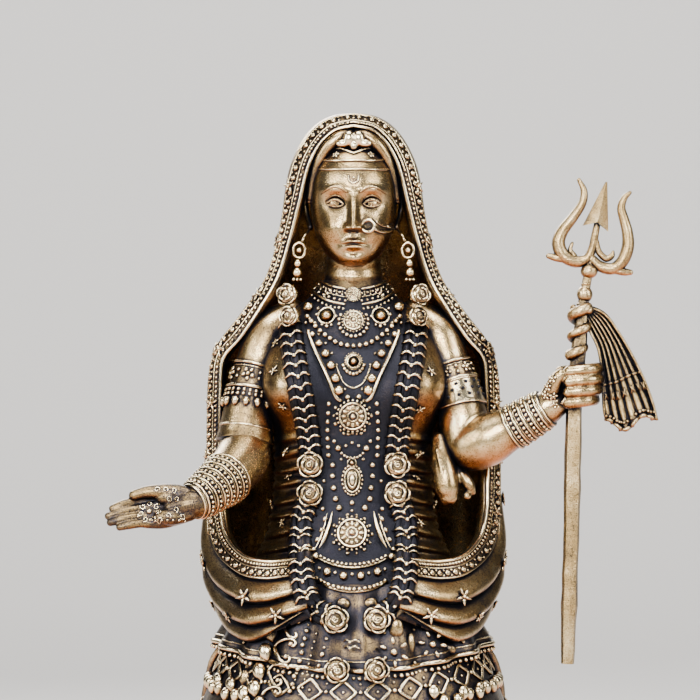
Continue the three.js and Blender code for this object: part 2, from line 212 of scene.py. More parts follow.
def finish_piece(name, bm, material, node="goddess_figure", flat=False):
    """Turns a bmesh in millimetres into a piece of the casting that stands for a CAD node."""
    bmesh.ops.scale(bm, vec=(MM, MM, MM), verts=bm.verts)
    mesh = bpy.data.meshes.new(name)
    bm.to_mesh(mesh)
    bm.free()
    for face in mesh.polygons:
        face.use_smooth = not flat
    piece = bpy.data.objects.new(name, mesh)
    mesh.materials.append(material)
    bpy.context.scene.collection.objects.link(piece)
    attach(piece, "root")
    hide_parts(node)
    return piece


def draped_grid(bm, across, up, place, weld=0.002):
    """A grid of quads with each corner moved to place(share across, share up)."""
    made = bmesh.ops.create_grid(bm, x_segments=across, y_segments=up, size=0.5)["verts"]
    for corner in made:
        corner.co = place(corner.co.x + 0.5, corner.co.y + 0.5)
    bmesh.ops.remove_doubles(bm, verts=made, dist=weld)


BASE_RADIUS = 25.0
BASE_HEIGHT = 4.6
BASE_DEPTH_RATIO = 0.9
skin_brass = cast_brass("rubbed_skin_brass", rub=0.62, grain=0.8, shine=0.21)
cloth_brass = cast_brass("rubbed_cloth_brass", rub=0.58, grain=1.0, shine=0.24)
ground_brass = cast_brass("blackened_ground_brass", rub=0.2, grain=1.5, shine=0.3)
relief_brass = cast_brass("bright_relief_brass", rub=0.8, grain=0.5, shine=0.2, gold="#e0d0a8")
worn_brass = cast_brass("half_worn_brass", rub=0.42, grain=1.0, shine=0.26)

base_profile = [(0, 0), (24.2, 0), (24.8, 0.25), (25.0, 0.8), (25.0, 2.7), (24.75, 3.2), (24.2, 3.5),
                (23.9, 3.8), (23.7, 4.35), (23.3, 4.6), (12, 4.6), (0, 4.6)]
base = bmesh.new()
outline = [base.verts.new((x, 0, z)) for x, z in base_profile]
edges = [base.edges.new(pair) for pair in zip(outline, outline[1:])]
bmesh.ops.spin(base, geom=outline + edges, axis=(0, 0, 1), cent=(0, 0, 0), angle=math.tau,
               steps=120, use_merge=True)
bmesh.ops.remove_doubles(base, verts=base.verts, dist=0.001)
bmesh.ops.recalc_face_normals(base, faces=base.faces)
bmesh.ops.scale(base, vec=(1, BASE_DEPTH_RATIO, 1), verts=base.verts)
finish_piece("base", base, cloth_brass)


# Skirt: a bell of cloth in gathered tiers, cast with the base. Each tier is gathered into
# pleats and stands proud of the one below, and only its upper part shows in the front view.
def along(stations, place):
    """Smooth value through a list of (place, value) stations in rising order of place."""
    if place <= stations[0][0]:
        return stations[0][1]
    if place >= stations[-1][0]:
        return stations[-1][1]
    i = next(k for k in range(1, len(stations)) if stations[k][0] >= place)
    (x0, y0), (x1, y1) = stations[i - 1], stations[i]
    before = stations[i - 2] if i > 1 else (2 * x0 - x1, 2 * y0 - y1)
    after = stations[i + 1] if i + 1 < len(stations) else (2 * x1 - x0, 2 * y1 - y0)
    slope0 = (y1 - before[1]) / (x1 - before[0])
    slope1 = (after[1] - y0) / (after[0] - x0)
    t = (place - x0) / (x1 - x0)
    span = x1 - x0
    return ((2 * t ** 3 - 3 * t ** 2 + 1) * y0 + (t ** 3 - 2 * t ** 2 + t) * span * slope0
            + (3 * t ** 2 - 2 * t ** 3) * y1 + (t ** 3 - t ** 2) * span * slope1)


SKIRT_DEPTH_RATIO = 0.88
SKIRT_PLEATS = 32
SKIRT_TIER = 11.6
SKIRT_BOTTOM = 4.1
SKIRT_WIDTHS = [(0, 22.6), (9, 22.5), (16, 22), (24, 21.1), (32, 20), (40, 18.4), (46, 16.9),
                (51.3, 15.1), (57.5, 12.3), (61, 9.8), (64.5, 7.4)]


def skirt_point(turn, z, lift=0.0):
    """A point of the skirt, with turn 0 in front and a quarter turn at +X."""
    in_tier = ((z - SKIRT_BOTTOM) % SKIRT_TIER) / SKIRT_TIER if z < SKIRT_BOTTOM + 4 * SKIRT_TIER else 1
    pleat_depth = 0.42 * min(1, max(0, (54 - z) / 30)) * (1 - 0.55 * in_tier)
    pleat = abs(math.sin(SKIRT_PLEATS / 2 * turn + 0.4 * math.sin(3 * turn)))
    half = along(SKIRT_WIDTHS, z) + 0.55 * (1 - in_tier) ** 2 + pleat_depth * (2 * pleat - 1) + lift
    return Vector((half * math.sin(turn), -half * SKIRT_DEPTH_RATIO * math.cos(turn), z))


skirt = bmesh.new()
tier_tops = [SKIRT_BOTTOM + SKIRT_TIER * n for n in range(5)]
skirt_heights = []
for bottom, top in zip(tier_tops, tier_tops[1:]):
    skirt_heights += [bottom + 0.02 + (top - bottom - 0.04) * k / 9 for k in range(10)]
skirt_heights += [51, 53, 55, 57.5, 60, 62.5, 64.5]
draped_grid(skirt, 384, len(skirt_heights) - 1,
            lambda u, v: skirt_point(math.tau * u, skirt_heights[round(v * (len(skirt_heights) - 1))]))
bmesh.ops.holes_fill(skirt, edges=skirt.edges, sides=0)
bmesh.ops.recalc_face_normals(skirt, faces=skirt.faces)
skirt_skin = BVHTree.FromBMesh(skirt)
finish_piece("skirt", skirt, worn_brass)


# Peplum: the flared lower edge of her long blouse, which dips towards the front and breaks
# into soft upright folds. It is one skin with the skirt below it.
PEPLUM_TOP = 63.5
PEPLUM_SIDE_HEM = 57.1
PEPLUM_DIP = 2.0
PEPLUM_WIDTHS = [(0, 13.6), (0.1, 13.5), (0.35, 12.6), (0.7, 11.6), (1, 10.8)]


def peplum_point(turn, share, lift=0.0):
    """A point of the peplum; share runs from the hem at 0 to the waist at 1."""
    hem = PEPLUM_SIDE_HEM - PEPLUM_DIP * max(0, math.cos(turn)) ** 2
    z = hem + share * (PEPLUM_TOP - hem)
    soft_fold = 0.4 * (1 - 0.6 * share) * math.sin(19 * turn + 1.5 * math.sin(2 * turn))
    half = along(PEPLUM_WIDTHS, share) + soft_fold + lift
    return Vector((half * math.sin(turn), -half * SKIRT_DEPTH_RATIO * math.cos(turn), z))


peplum = bmesh.new()
draped_grid(peplum, 300, 30, lambda u, v: peplum_point(math.tau * u, v))
hem_loop = [e for e in peplum.edges if e.is_boundary and e.verts[0].co.z < 60 and e.verts[1].co.z < 60]
turned_in = bmesh.ops.extrude_edge_only(peplum, edges=hem_loop)["geom"]
for corner in turned_in:
    if isinstance(corner, bmesh.types.BMVert):
        corner.co = Vector((corner.co.x * 0.93, corner.co.y * 0.93, corner.co.z + 0.15))
bmesh.ops.holes_fill(peplum, edges=peplum.edges, sides=0)
bmesh.ops.recalc_face_normals(peplum, faces=peplum.faces)
peplum_skin = BVHTree.FromBMesh(peplum)
finish_piece("peplum", peplum, worn_brass)


# Trunk: chest, waist and hips in a close blouse, with the cloth pulled into creases under the
# bust and round the waist. The garland and the necklaces are cast on top of it.
TRUNK_WIDTHS = [(60, 11.0), (64, 10.8), (66.2, 9.4), (68.5, 8.4), (73, 7.8), (78, 7.8), (80, 8.1), (82, 8.5), (86, 8.8),
                (88.4, 8.1), (90.2, 6.3), (91.4, 4.6), (92.4, 3.7), (93.4, 2.9)]
TRUNK_FRONTS = [(60, 9.4), (64, 8.9), (66.2, 7.7), (68.5, 6.9), (73, 6.3), (78, 6.3), (82, 6.4), (86, 5.7),
                (88.4, 4.9), (90.2, 4.3), (91.4, 3.9), (92.4, 3.5), (93.4, 3.0)]
TRUNK_TOP = 93.4
TRUNK_BACK = 5.0
BUST_SIDE = 6.9
BUST_HEIGHT = 82.7
BUST_RISE = 3.3
BUST_SPREAD = 2.45
BLACK_HALF_WIDTH = 5.3


def swell(x, z, centre_x, centre_z, spread):
    """A smooth hill of height 1 round a centre."""
    return math.exp(-((x - centre_x) ** 2 + (z - centre_z) ** 2) / (2 * spread ** 2))


def trunk_point(turn, z):
    x = along(TRUNK_WIDTHS, z) * math.sin(turn)
    depth = along(TRUNK_FRONTS, z) if math.cos(turn) > 0 else TRUNK_BACK
    y = -depth * math.cos(turn)
    if math.cos(turn) > -0.2:
        bust = swell(abs(x), z, BUST_SIDE, BUST_HEIGHT, BUST_SPREAD)
        y -= BUST_RISE * bust
        x += math.copysign(0.8 * bust, x)
        waist = min(1, max(0, (78.5 - z) / 2)) * min(1, max(0, (z - 64.5) / 2)) * min(1, max(0, (abs(x) - 4.2) / 1.2))
        droop = 1.3 * (abs(x) / 8) ** 2 + 0.12 * math.sin(1.7 * z)
        fold = 0.5 + 0.5 * math.sin(math.tau * (z + droop) / 1.5)
        fold = 2 * fold ** 0.7 - 1
        y -= 0.42 * waist * fold
        x += math.copysign(0.26 * waist * fold * abs(math.sin(turn)), x)
    return Vector((x, y, z))


trunk = bmesh.new()
draped_grid(trunk, 150, 200, lambda u, v: trunk_point(math.tau * u, 60 + (TRUNK_TOP - 60) * v))
bmesh.ops.holes_fill(trunk, edges=trunk.edges, sides=0)
bmesh.ops.recalc_face_normals(trunk, faces=trunk.faces)
trunk_skin = BVHTree.FromBMesh(trunk)
for face in trunk.faces:
    middle = face.calc_center_median()
    face.material_index = int(abs(middle.x) < BLACK_HALF_WIDTH - max(0, 62 - middle.z) and middle.y < 0 and middle.z < 92.4)
finish_piece("trunk", trunk, cloth_brass).data.materials.append(ground_brass)


# Veil: one sheet of cloth from the crown of the head over the shoulders and down the sides,
# open in front, with a long end that hangs over the skirt behind. It is cast with the figure.
VEIL_THICKNESS = 0.8
VEIL_CROWN = 110.0
VEIL_RIM_TOP = 108.4
VEIL_WIDTHS = [(56, 12.4), (57.3, 12.5), (58.5, 12.95), (60, 13.5), (62, 14.0), (66, 14.55), (70, 14.65), (76, 14.6),
               (82, 14.5), (84, 14.35), (85.6, 14.0), (87.2, 13.3), (88.4, 12.55), (89.8, 11.4), (91.3, 10.25),
               (93, 9.0), (95, 8.15), (97.5, 7.55), (100, 7.15), (103, 6.75), (105, 6.25), (107, 5.3),
               (108.5, 4.15), (109.4, 2.9), (109.85, 1.6), (110, 0)]
VEIL_BACKS = [(56, 11.5), (62, 11.3), (66, 10.8), (72, 10.2), (82, 9.2), (86, 8.8), (90.5, 8.0), (95, 7.4), (99, 7.4),
              (103, 7.2), (106, 6.3), (108.2, 4.9), (109.4, 3.2), (109.85, 1.8), (110, 0)]
VEIL_FRONTS = [(56, 8.6), (62, 6.4), (66, 4.8), (72, 3.6), (82, 3.2), (86, 3.6), (88.5, 4.1), (90.5, 4.1), (93, 3.7),
               (97, 3.5), (103, 3.5), (106, 3.4), (108.2, 2.9), (109.4, 1.9), (109.85, 1.0), (110, 0)]
VEIL_RIM = [(66, 12.0), (68, 12.75), (70, 13.05), (76, 13.2), (83.5, 13.1), (85.6, 12.8), (87.4, 11.2), (90.4, 9.2),
            (93.5, 7.45), (97.6, 6.15), (101.1, 5.25), (104.6, 4.35), (106.4, 3.45), (107.5, 2.5), (108.1, 1.55),
            (108.4, 0)]
VEIL_BACK_EDGES = [(22, 180), (22.6, 165), (24, 154), (28, 142), (34, 134), (40, 128), (46, 120), (52, 107), (57, 86),
                   (60, 72), (62, 64), (66, 56)]


def veil_point(turn, z, lift=0.0):
    """A point of the veil's outer face; turn 0 is in front, and half a turn is the middle of the back."""
    width = along(VEIL_WIDTHS, z) + lift
    depth = (along(VEIL_FRONTS, z) if math.cos(turn) > 0 else along(VEIL_BACKS, z)) + lift
    body = Vector((width * math.sin(turn), -depth * math.cos(turn), z))
    behind = max(0, -math.cos(turn))
    ripple = 0.34 * behind * min(1, max(0, (90 - z) / 20)) * math.sin(15 * turn + 0.12 * (z - 60))
    if z < 62:
        hang = skirt_point(turn, max(z, 20), 1.1 + lift)
        share = min(1, (62 - z) / 7)
        share = share * share * (3 - 2 * share)
        body = body.lerp(hang, share)
    return body + Vector((math.sin(turn), -math.cos(turn), 0)) * ripple


def veil_edge_turn(z):
    """How far round from the front the veil's cloth starts at a height."""
    if z < 66:
        return math.radians(along(VEIL_BACK_EDGES, z))
    if z >= VEIL_RIM_TOP:
        return 0.0
    return math.asin(min(1, along(VEIL_RIM, z) / along(VEIL_WIDTHS, z)))


def veil_heights():
    heights = [22 + 44 * k / 60 for k in range(60)]
    heights += [66 + 38 * k / 80 for k in range(80)]
    heights += [104 + 4.4 * math.sin(math.pi / 2 * k / 40) for k in range(40)]
    return heights + [108.4 + 1.6 * math.sin(math.pi / 2 * k / 12) for k in range(13)]


veil_rows = veil_heights()


def veil_corner(u, v):
    z = veil_rows[round(v * (len(veil_rows) - 1))]
    start = veil_edge_turn(z)
    return veil_point(start + (math.tau - 2 * start) * u, z)


veil = bmesh.new()
draped_grid(veil, 132, len(veil_rows) - 1, veil_corner)
bmesh.ops.recalc_face_normals(veil, faces=veil.faces)
veil_skin = BVHTree.FromBMesh(veil)
veil_piece = finish_piece("veil", veil, cloth_brass)
thick = veil_piece.modifiers.new("cloth_thickness", "SOLIDIFY")
thick.thickness = VEIL_THICKNESS * MM
thick.offset = -1


# Hip folds: the veil's two ends drawn forward round the hips and tucked in under the garland.
# Each is a flat border band with three slack rolls of cloth below it, cast in one.
HIP_GUIDES = [
    # the lip of the border, then the lower edge of the border and of each roll, from the side of
    # the veil's opening to the front; x is for the right-hand side of the picture
    [(13.3, -1.0, 76.5), (13.25, -1.7, 73.6), (13.15, -2.3, 70.8), (12.5, -3.8, 68.0), (10.8, -6.4, 66.2),
     (8.6, -8.0, 65.7), (6.5, -8.8, 65.8), (4.4, -9.2, 66.0)],
    [(14.5, 0.9, 76.0), (14.6, 0.7, 72.6), (14.5, -0.3, 69.2), (13.6, -2.9, 66.2), (11.1, -6.8, 64.3),
     (8.7, -8.7, 63.9), (6.5, -9.5, 64.2), (4.4, -9.8, 64.6)],
    [(14.4, 4.2, 72.0), (14.7, 2.6, 68.8), (14.6, -0.2, 65.8), (13.3, -3.8, 63.0), (10.8, -7.6, 61.7),
     (8.5, -9.4, 61.7), (6.4, -10.1, 62.3), (4.3, -10.3, 62.9)],
    [(14.1, 6.2, 68.0), (14.5, 3.4, 65.2), (14.1, -0.6, 62.6), (12.6, -4.6, 60.4), (10.4, -8.2, 59.5),
     (8.3, -9.9, 59.8), (6.2, -10.6, 60.6), (4.4, -10.8, 61.3)],
    [(13.3, 7.4, 64.5), (13.5, 3.8, 62.0), (13.0, -0.9, 60.0), (11.9, -4.9, 58.4), (10.3, -7.7, 57.8),
     (8.9, -9.2, 58.3), (7.2, -10.2, 59.5), (5.6, -10.4, 60.7)],
]
HIP_SWELLS = [0.12, 0.75, 0.8, 0.5]
HIP_CREASE = 0.35


def smooth_line(points, share):
    """A point a share of the way along a smooth line through the given points."""
    steps = list(range(len(points)))
    at = share * (len(points) - 1)
    return Vector([along([(n, points[n][axis]) for n in steps], at) for axis in range(3)])


def hip_point(side, u, v):
    band = min(3, int(v * 4))
    inside = v * 4 - band
    upper, lower = smooth_line(HIP_GUIDES[band], u), smooth_line(HIP_GUIDES[band + 1], u)
    middle = upper.lerp(lower, inside)
    outward = Vector((middle.x, middle.y - 1.5, 0)).normalized()
    fade = min(1, u / 0.3) * min(1, 0.45 + (1 - u) / 0.3)
    bulge = math.sin(math.pi * inside ** 1.25) ** 0.8 if 0 < inside < 1 else 0.0
    middle += outward * (HIP_SWELLS[band] * bulge - HIP_CREASE * (0 if band == 0 else (1 - bulge) ** 6)) * fade
    middle.z -= 0.25 * bulge * fade * (band > 0)
    return Vector((side * middle.x, middle.y, middle.z))


hips = bmesh.new()
for side in (-1, 1):
    draped_grid(hips, 84, 88, lambda u, v: hip_point(side, u, v))
bmesh.ops.recalc_face_normals(hips, faces=hips.faces)
hip_skin = BVHTree.FromBMesh(hips)
hip_piece = finish_piece("hip_folds", hips, cloth_brass)
thick = hip_piece.modifiers.new("cloth_thickness", "SOLIDIFY")
thick.thickness = 0.9 * MM
thick.offset = -1


# Head: face, neck and ears, cast in one with the trunk. The face is a calm one on the usual
# proportions: the eyes half way up the head, and the brow, nose and chin in equal thirds.
CHIN = 94.4
CROWN = 107.2
EYE_LINE = 100.8
BROW_LINE = 101.9
NOSE_BASE = 98.0
MOUTH_LINE = 96.75
EYE_WIDTH = 1.7
HEAD_MIDDLE = Vector((0, -0.9, 0))
HEAD_WIDTHS = [(94.4, 0.0), (94.55, 1.15), (95.1, 2.1), (96.2, 3.0), (97.6, 3.7), (99.2, 4.1), (101, 4.3),
               (103, 4.25), (104.6, 3.8), (105.9, 3.0), (106.8, 1.8), (107.2, 0)]
HEAD_FRONTS = [(94.4, 0.0), (94.5, 2.1), (94.8, 3.2), (95.4, 3.85), (96.4, 4.05), (98, 4.15), (100.2, 4.1), (101.9, 4.3),
               (103.4, 4.15), (104.8, 3.55), (106, 2.6), (106.9, 1.4), (107.2, 0)]


def hill(x, z, centre_x, centre_z, spread_x, spread_z):
    """A smooth oval hill of height 1."""
    return math.exp(-((x - centre_x) / spread_x) ** 2 - ((z - centre_z) / spread_z) ** 2)


def face_relief(x, z):
    """How far the face stands proud of the plain egg of the head."""
    side = abs(x)
    bridge = min(1, max(0, (BROW_LINE - 0.2 - z) / (BROW_LINE - 0.2 - NOSE_BASE - 0.35)))
    foot = min(1, max(0, (z - NOSE_BASE + 0.15) / 0.45))
    nose = (0.3 + 0.8 * bridge ** 1.3) * foot * foot * (3 - 2 * foot) * (z < BROW_LINE + 0.5)
    relief = nose * math.exp(-(side / (0.46 + 0.14 * bridge ** 2)) ** 2) * min(1, max(0, (BROW_LINE + 0.5 - z) / 0.8))
    relief += 0.42 * hill(side, z, 0.72, NOSE_BASE + 0.36, 0.3, 0.33)
    relief -= 0.22 * hill(side, z, 0.36, NOSE_BASE - 0.02, 0.18, 0.12)
    relief -= 0.5 * hill(side, z, EYE_WIDTH + 0.05, EYE_LINE + 0.05, 1.1, 0.7)
    relief += 0.3 * hill(side, z, 1.9, BROW_LINE + 0.25, 1.3, 0.38)
    relief += 0.42 * hill(side, z, 2.25, NOSE_BASE + 0.35, 1.1, 1.15)
    relief -= 0.12 * hill(side, z, 1.55, MOUTH_LINE, 0.35, 0.4)
    relief += 0.26 * hill(side, z, 0.0, MOUTH_LINE, 1.1, 0.75)
    relief += 0.26 * hill(side, z, 0.42, MOUTH_LINE + 0.26, 0.5, 0.2)
    relief += 0.32 * hill(side, z, 0.0, MOUTH_LINE - 0.32, 0.72, 0.22)
    seam = MOUTH_LINE + 0.05 * math.cos(side * 3.4)
    relief -= 0.26 * hill(side, z, 0.0, seam, 1.0, 0.075)
    relief -= 0.12 * hill(side, z, 0.0, MOUTH_LINE - 0.85, 0.9, 0.22)
    relief -= 0.08 * hill(side, z, 0.0, MOUTH_LINE + 0.75, 0.14, 0.4)
    return relief + 0.4 * hill(side, z, 0.0, CHIN + 0.75, 0.85, 0.6)


def head_point(turn, z):
    ahead = math.cos(turn)
    depth = along(HEAD_FRONTS, z) if ahead > 0 else along(HEAD_WIDTHS, z) * 1.05
    point = HEAD_MIDDLE + Vector((along(HEAD_WIDTHS, z) * math.sin(turn), -depth * ahead, z))
    if ahead > 0:
        point.y -= face_relief(point.x, z) * min(1, ahead * 2)
    return point


def head_turn(u):
    """Spends most of the columns on the face: u runs from the back round by -X to the back."""
    return math.pi * (2 * u - 1) * (0.55 + 0.45 * (2 * u - 1) ** 2)


def head_height(v):
    return CHIN + (CROWN - CHIN) * (1 - math.cos(math.pi * v)) / 2 if not 0 < v < 1 else (
        CHIN + (CROWN - CHIN) * (0.75 * v + 0.25 * (1 - math.cos(math.pi * v)) / 2))


head = bmesh.new()
draped_grid(head, 200, 170, lambda u, v: head_point(head_turn(u), head_height(v)))
head_skin_mesh = head.copy()
bmesh.ops.recalc_face_normals(head_skin_mesh, faces=head_skin_mesh.faces)
head_skin = BVHTree.FromBMesh(head_skin_mesh)
head_skin_mesh.free()


def wires(bm, lines, sides=6):
    """Adds round wires; a line is (points, radius or radii, closed or not)."""
    data = bpy.data.curves.new("wire", "CURVE")
    data.dimensions = "3D"
    data.bevel_depth = 1.0
    data.bevel_resolution = sides // 2 - 2
    data.use_fill_caps = True
    for points, radii, closed in lines:
        if not isinstance(radii, (list, tuple)):
            radii = [radii] * len(points)
        spline = data.splines.new("POLY")
        spline.use_cyclic_u = closed
        spline.points.add(len(points) - 1)
        for at, point, radius in zip(spline.points, points, radii):
            at.co = (*point, 1)
            at.radius = radius
    carrier = bpy.data.objects.new("wire", data)
    mesh = bpy.data.meshes.new_from_object(carrier)
    tube = bmesh.new()
    tube.from_mesh(mesh)
    bmesh.ops.remove_doubles(tube, verts=tube.verts, dist=0.0005)
    tube.to_mesh(mesh)
    tube.free()
    bm.from_mesh(mesh)
    bpy.data.objects.remove(carrier)
    bpy.data.curves.remove(data)
    bpy.data.meshes.remove(mesh)


def template(make, *settings):
    """A small shape kept as a mesh, for stamping."""
    bm = bmesh.new()
    make(bm, *settings)
    mesh = bpy.data.meshes.new("template")
    bm.to_mesh(mesh)
    bm.free()
    return mesh


def stamp(bm, shape, place, out=(0, -1, 0), up=(0, 0, 1), size=1.0, turn=0.0):
    """Adds a shape at a place, its own +Z along out and its +Y towards up."""
    z_axis = Vector(out).normalized()
    x_axis = Vector(up).cross(z_axis).normalized()
    y_axis = z_axis.cross(x_axis)
    frame_of_shape = Matrix((x_axis, y_axis, z_axis)).transposed().to_4x4()
    copy = shape.copy()
    copy.transform(Matrix.Translation(place) @ frame_of_shape @ Matrix.Rotation(turn, 4, "Z") @ Matrix.Scale(size, 4))
    bm.from_mesh(copy)
    bpy.data.meshes.remove(copy)


def bead_shape(bm, across=8, up=5):
    bmesh.ops.create_uvsphere(bm, u_segments=across, v_segments=up, radius=1)


bead = template(bead_shape)
fine_bead = template(bead_shape, 20, 12)


def sphere(bm, place, radii, shape=fine_bead, turn=None):
    """Adds an oval ball with its three half sizes along X, Y and Z."""
    copy = shape.copy()
    stretch = Matrix.Diagonal((*radii, 1))
    copy.transform(Matrix.Translation(place) @ (turn.to_4x4() if turn else Matrix()) @ stretch)
    bm.from_mesh(copy)
    bpy.data.meshes.remove(copy)


def smooth_path(points, count):
    """Evenly shared points on a smooth line through the given points; any further values are carried along."""
    last = len(points) - 1
    path = []
    for n in range(count):
        at = last * n / (count - 1)
        path.append([along([(k, p[axis]) for k, p in enumerate(points)], at) for axis in range(len(points[0]))])
    return path


def on_skin(skin, x, z, lift=0.0, from_y=-40.0):
    """The point of a skin straight behind (x, z), with its outward normal."""
    hit, normal, _, _ = skin.ray_cast(Vector((x, from_y, z)), Vector((0, 1, 0)))
    if hit is None:
        hit, normal, _, _ = skin.find_nearest(Vector((x, -4, z)))
    return hit + normal * lift, normal


def face_line(places, radii, lift=0.0, count=16):
    """A raised line across the face through (x, z) places."""
    path = smooth_path([(*place, radius) for place, radius in zip(places, radii)], count)
    return [on_skin(head_skin, x, z, lift)[0] for x, z, _ in path], [radius for _, _, radius in path], False


lines = []
for side in (-1, 1):
    eye = on_skin(head_skin, side * EYE_WIDTH, EYE_LINE)[0] + Vector((0, 0.32, 0))
    sphere(head, eye, (0.86, 0.72, 0.6))
    lines.append(([eye + Vector((0.25 * math.cos(math.tau * n / 20), -0.69, 0.02 + 0.25 * math.sin(math.tau * n / 20)))
                   for n in range(20)], 0.045, True))
    sphere(head, eye + Vector((0, -0.66, 0.02)), (0.12, 0.1, 0.12))
    upper = [(0.84, -0.14), (1.2, 0.24), (1.72, 0.46), (2.25, 0.3), (2.66, -0.06)]
    lower = [(0.84, -0.14), (1.25, -0.36), (1.75, -0.43), (2.25, -0.3), (2.66, -0.06)]
    crease = [(0.95, 0.3), (1.3, 0.62), (1.75, 0.78), (2.35, 0.6), (2.8, 0.2)]
    brow = [(0.6, 1.0), (1.1, 1.4), (1.8, 1.62), (2.6, 1.36), (3.2, 0.9)]
    for places, radii, lift in ((upper, (0.06, 0.14, 0.16, 0.14, 0.07), 0.2), (lower, (0.05, 0.08, 0.09, 0.08, 0.05), 0.16),
                                (crease, (0.03, 0.06, 0.07, 0.06, 0.03), 0.02), (brow, (0.1, 0.17, 0.17, 0.13, 0.05), 0.0)):
        lines.append(face_line([(side * x, EYE_LINE + z) for x, z in places], radii, lift))
wires(head, lines, sides=8)
for side in (-1, 1):
    ear = [(4.35, -0.7, 101.2), (4.75, -0.1, 101.9), (4.85, 0.5, 101.2), (4.7, 0.3, 99.9), (4.4, -0.4, 98.9), (4.3, -0.9, 98.4)]
    path = smooth_path([(side * x, y, z, r) for (x, y, z), r in zip(ear, (0.2, 0.3, 0.32, 0.28, 0.28, 0.25))], 14)
    wires(head, [([p[:3] for p in path], [p[3] for p in path], False)], sides=8)
NECK = [(0, 1.2, 86.5, 3.6), (0, 0.5, 89.5, 3.4), (0, 0.1, 91.5, 3.35), (0, -0.15, 92.8, 3.15), (0, -0.35, 94.0, 2.85),
        (0, -0.6, 95.5, 2.65), (0, -0.7, 97.5, 2.5)]
neck = smooth_path(NECK, 60)
for point in neck:
    point[3] += 0.07 * math.sin(math.tau * (point[2] - 90) / 1.25)
wires(head, [([p[:3] for p in neck], [p[3] for p in neck], False)], sides=40)
bmesh.ops.recalc_face_normals(head, faces=head.faces)
finish_piece("head", head, skin_brass)


# Arms and hands: two short sleeves, bare forearms and hands, cast with the body. The right hand
# is held out open with the palm up; the left one is a fist round the staff.
RIGHT_SLEEVE = [(-6.2, 0.3, 89.9, 1.6), (-8.4, -0.7, 87.9, 2.2), (-9.6, -1.5, 84.8, 2.15), (-10.2, -2.1, 82.2, 2.25),
                (-10.5, -2.5, 79.8, 2.5), (-10.75, -2.9, 77.9, 2.72), (-10.85, -3.1, 77.1, 2.85)]
RIGHT_FOREARM = [(-10.6, -2.8, 77.3, 2.3), (-10.8, -3.8, 76.2, 2.65), (-11.2, -5.0, 75.2, 2.68), (-12.4, -7.1, 73.8, 2.45),
                 (-13.6, -8.9, 72.9, 2.15), (-14.7, -10.3, 72.1, 1.9), (-15.5, -11.1, 71.65, 1.62), (-16.0, -11.5, 71.45, 1.2)]
LEFT_UPPER_ARM = [(6.2, 0.3, 89.9, 1.6), (8.4, -0.7, 87.9, 2.2), (9.5, -1.4, 84.8, 2.1), (10.3, -1.9, 82.3, 2.2),
                  (10.8, -2.5, 80.0, 2.4), (11.1, -3.0, 78.0, 2.5), (11.2, -3.4, 77.0, 2.4)]
LEFT_FOREARM = [(10.9, -3.3, 76.9, 2.2), (11.8, -3.9, 76.8, 2.5), (13.2, -4.5, 77.4, 2.58), (14.5, -4.9, 78.1, 2.35),
                (15.7, -5.3, 78.7, 2.08), (17.4, -5.8, 79.7, 1.92), (19.0, -6.3, 80.65, 1.72), (19.7, -6.5, 81.1, 1.55)]
OPEN_HAND_WRIST = Vector((-16.0, -11.6, 71.4))
HAND_AHEAD = Vector((-0.98, -0.06, -0.185)).normalized()
HAND_ACROSS = Vector((0.16, -0.45, -0.87)).normalized()
HAND_UP = HAND_AHEAD.cross(HAND_ACROSS).normalized()
STAFF_FORWARD = -7.0
FIST_MIDDLE = 82.8
FINGER_PITCH = 1.02


def fused(bm, voxel, smoothing):
    """Melts overlapping shapes into one skin, as sculpted wax is."""
    mesh = bpy.data.meshes.new("wax")
    bm.to_mesh(mesh)
    bm.free()
    carrier = bpy.data.objects.new("wax", mesh)
    bpy.context.scene.collection.objects.link(carrier)
    melt = carrier.modifiers.new("melt", "REMESH")
    melt.mode = "VOXEL"
    melt.voxel_size = voxel
    relax = carrier.modifiers.new("relax", "SMOOTH")
    relax.iterations = smoothing
    result = bpy.data.meshes.new_from_object(carrier.evaluated_get(bpy.context.evaluated_depsgraph_get()))
    skin = bmesh.new()
    skin.from_mesh(result)
    for used in (result, mesh):
        bpy.data.meshes.remove(used)
    return skin


def limb(bm, points, count=48, sides=28):
    """Adds a round limb through (x, y, z, radius) points, with a dome at each end."""
    path = smooth_path(points, count)
    for tip, inner in ((path[0], path[1]), (path[-1], path[-2])):
        sphere(bm, Vector(tip[:3]), (tip[3] * 0.985,) * 3)
    wires(bm, [([p[:3] for p in path], [p[3] for p in path], False)], sides)
    return path


def in_hand(ahead, across, up=0.0):
    return OPEN_HAND_WRIST + HAND_AHEAD * ahead + HAND_ACROSS * across + HAND_UP * up


sleeve = bmesh.new()
right_upper = smooth_path(RIGHT_SLEEVE, 48)
sphere(sleeve, Vector(right_upper[0][:3]), (1.57,) * 3)
wires(sleeve, [([p[:3] for p in right_upper], [p[3] for p in right_upper], False)], 36)
bmesh.ops.recalc_face_normals(sleeve, faces=sleeve.faces)
finish_piece("right_sleeve", sleeve, cloth_brass)

arms = bmesh.new()
right_fore = limb(arms, RIGHT_FOREARM)
left_upper = limb(arms, LEFT_UPPER_ARM)
left_fore = limb(arms, LEFT_FOREARM)
arms = fused(arms, 0.2, 4)
bmesh.ops.recalc_face_normals(arms, faces=arms.faces)
finish_piece("arms", arms, skin_brass)

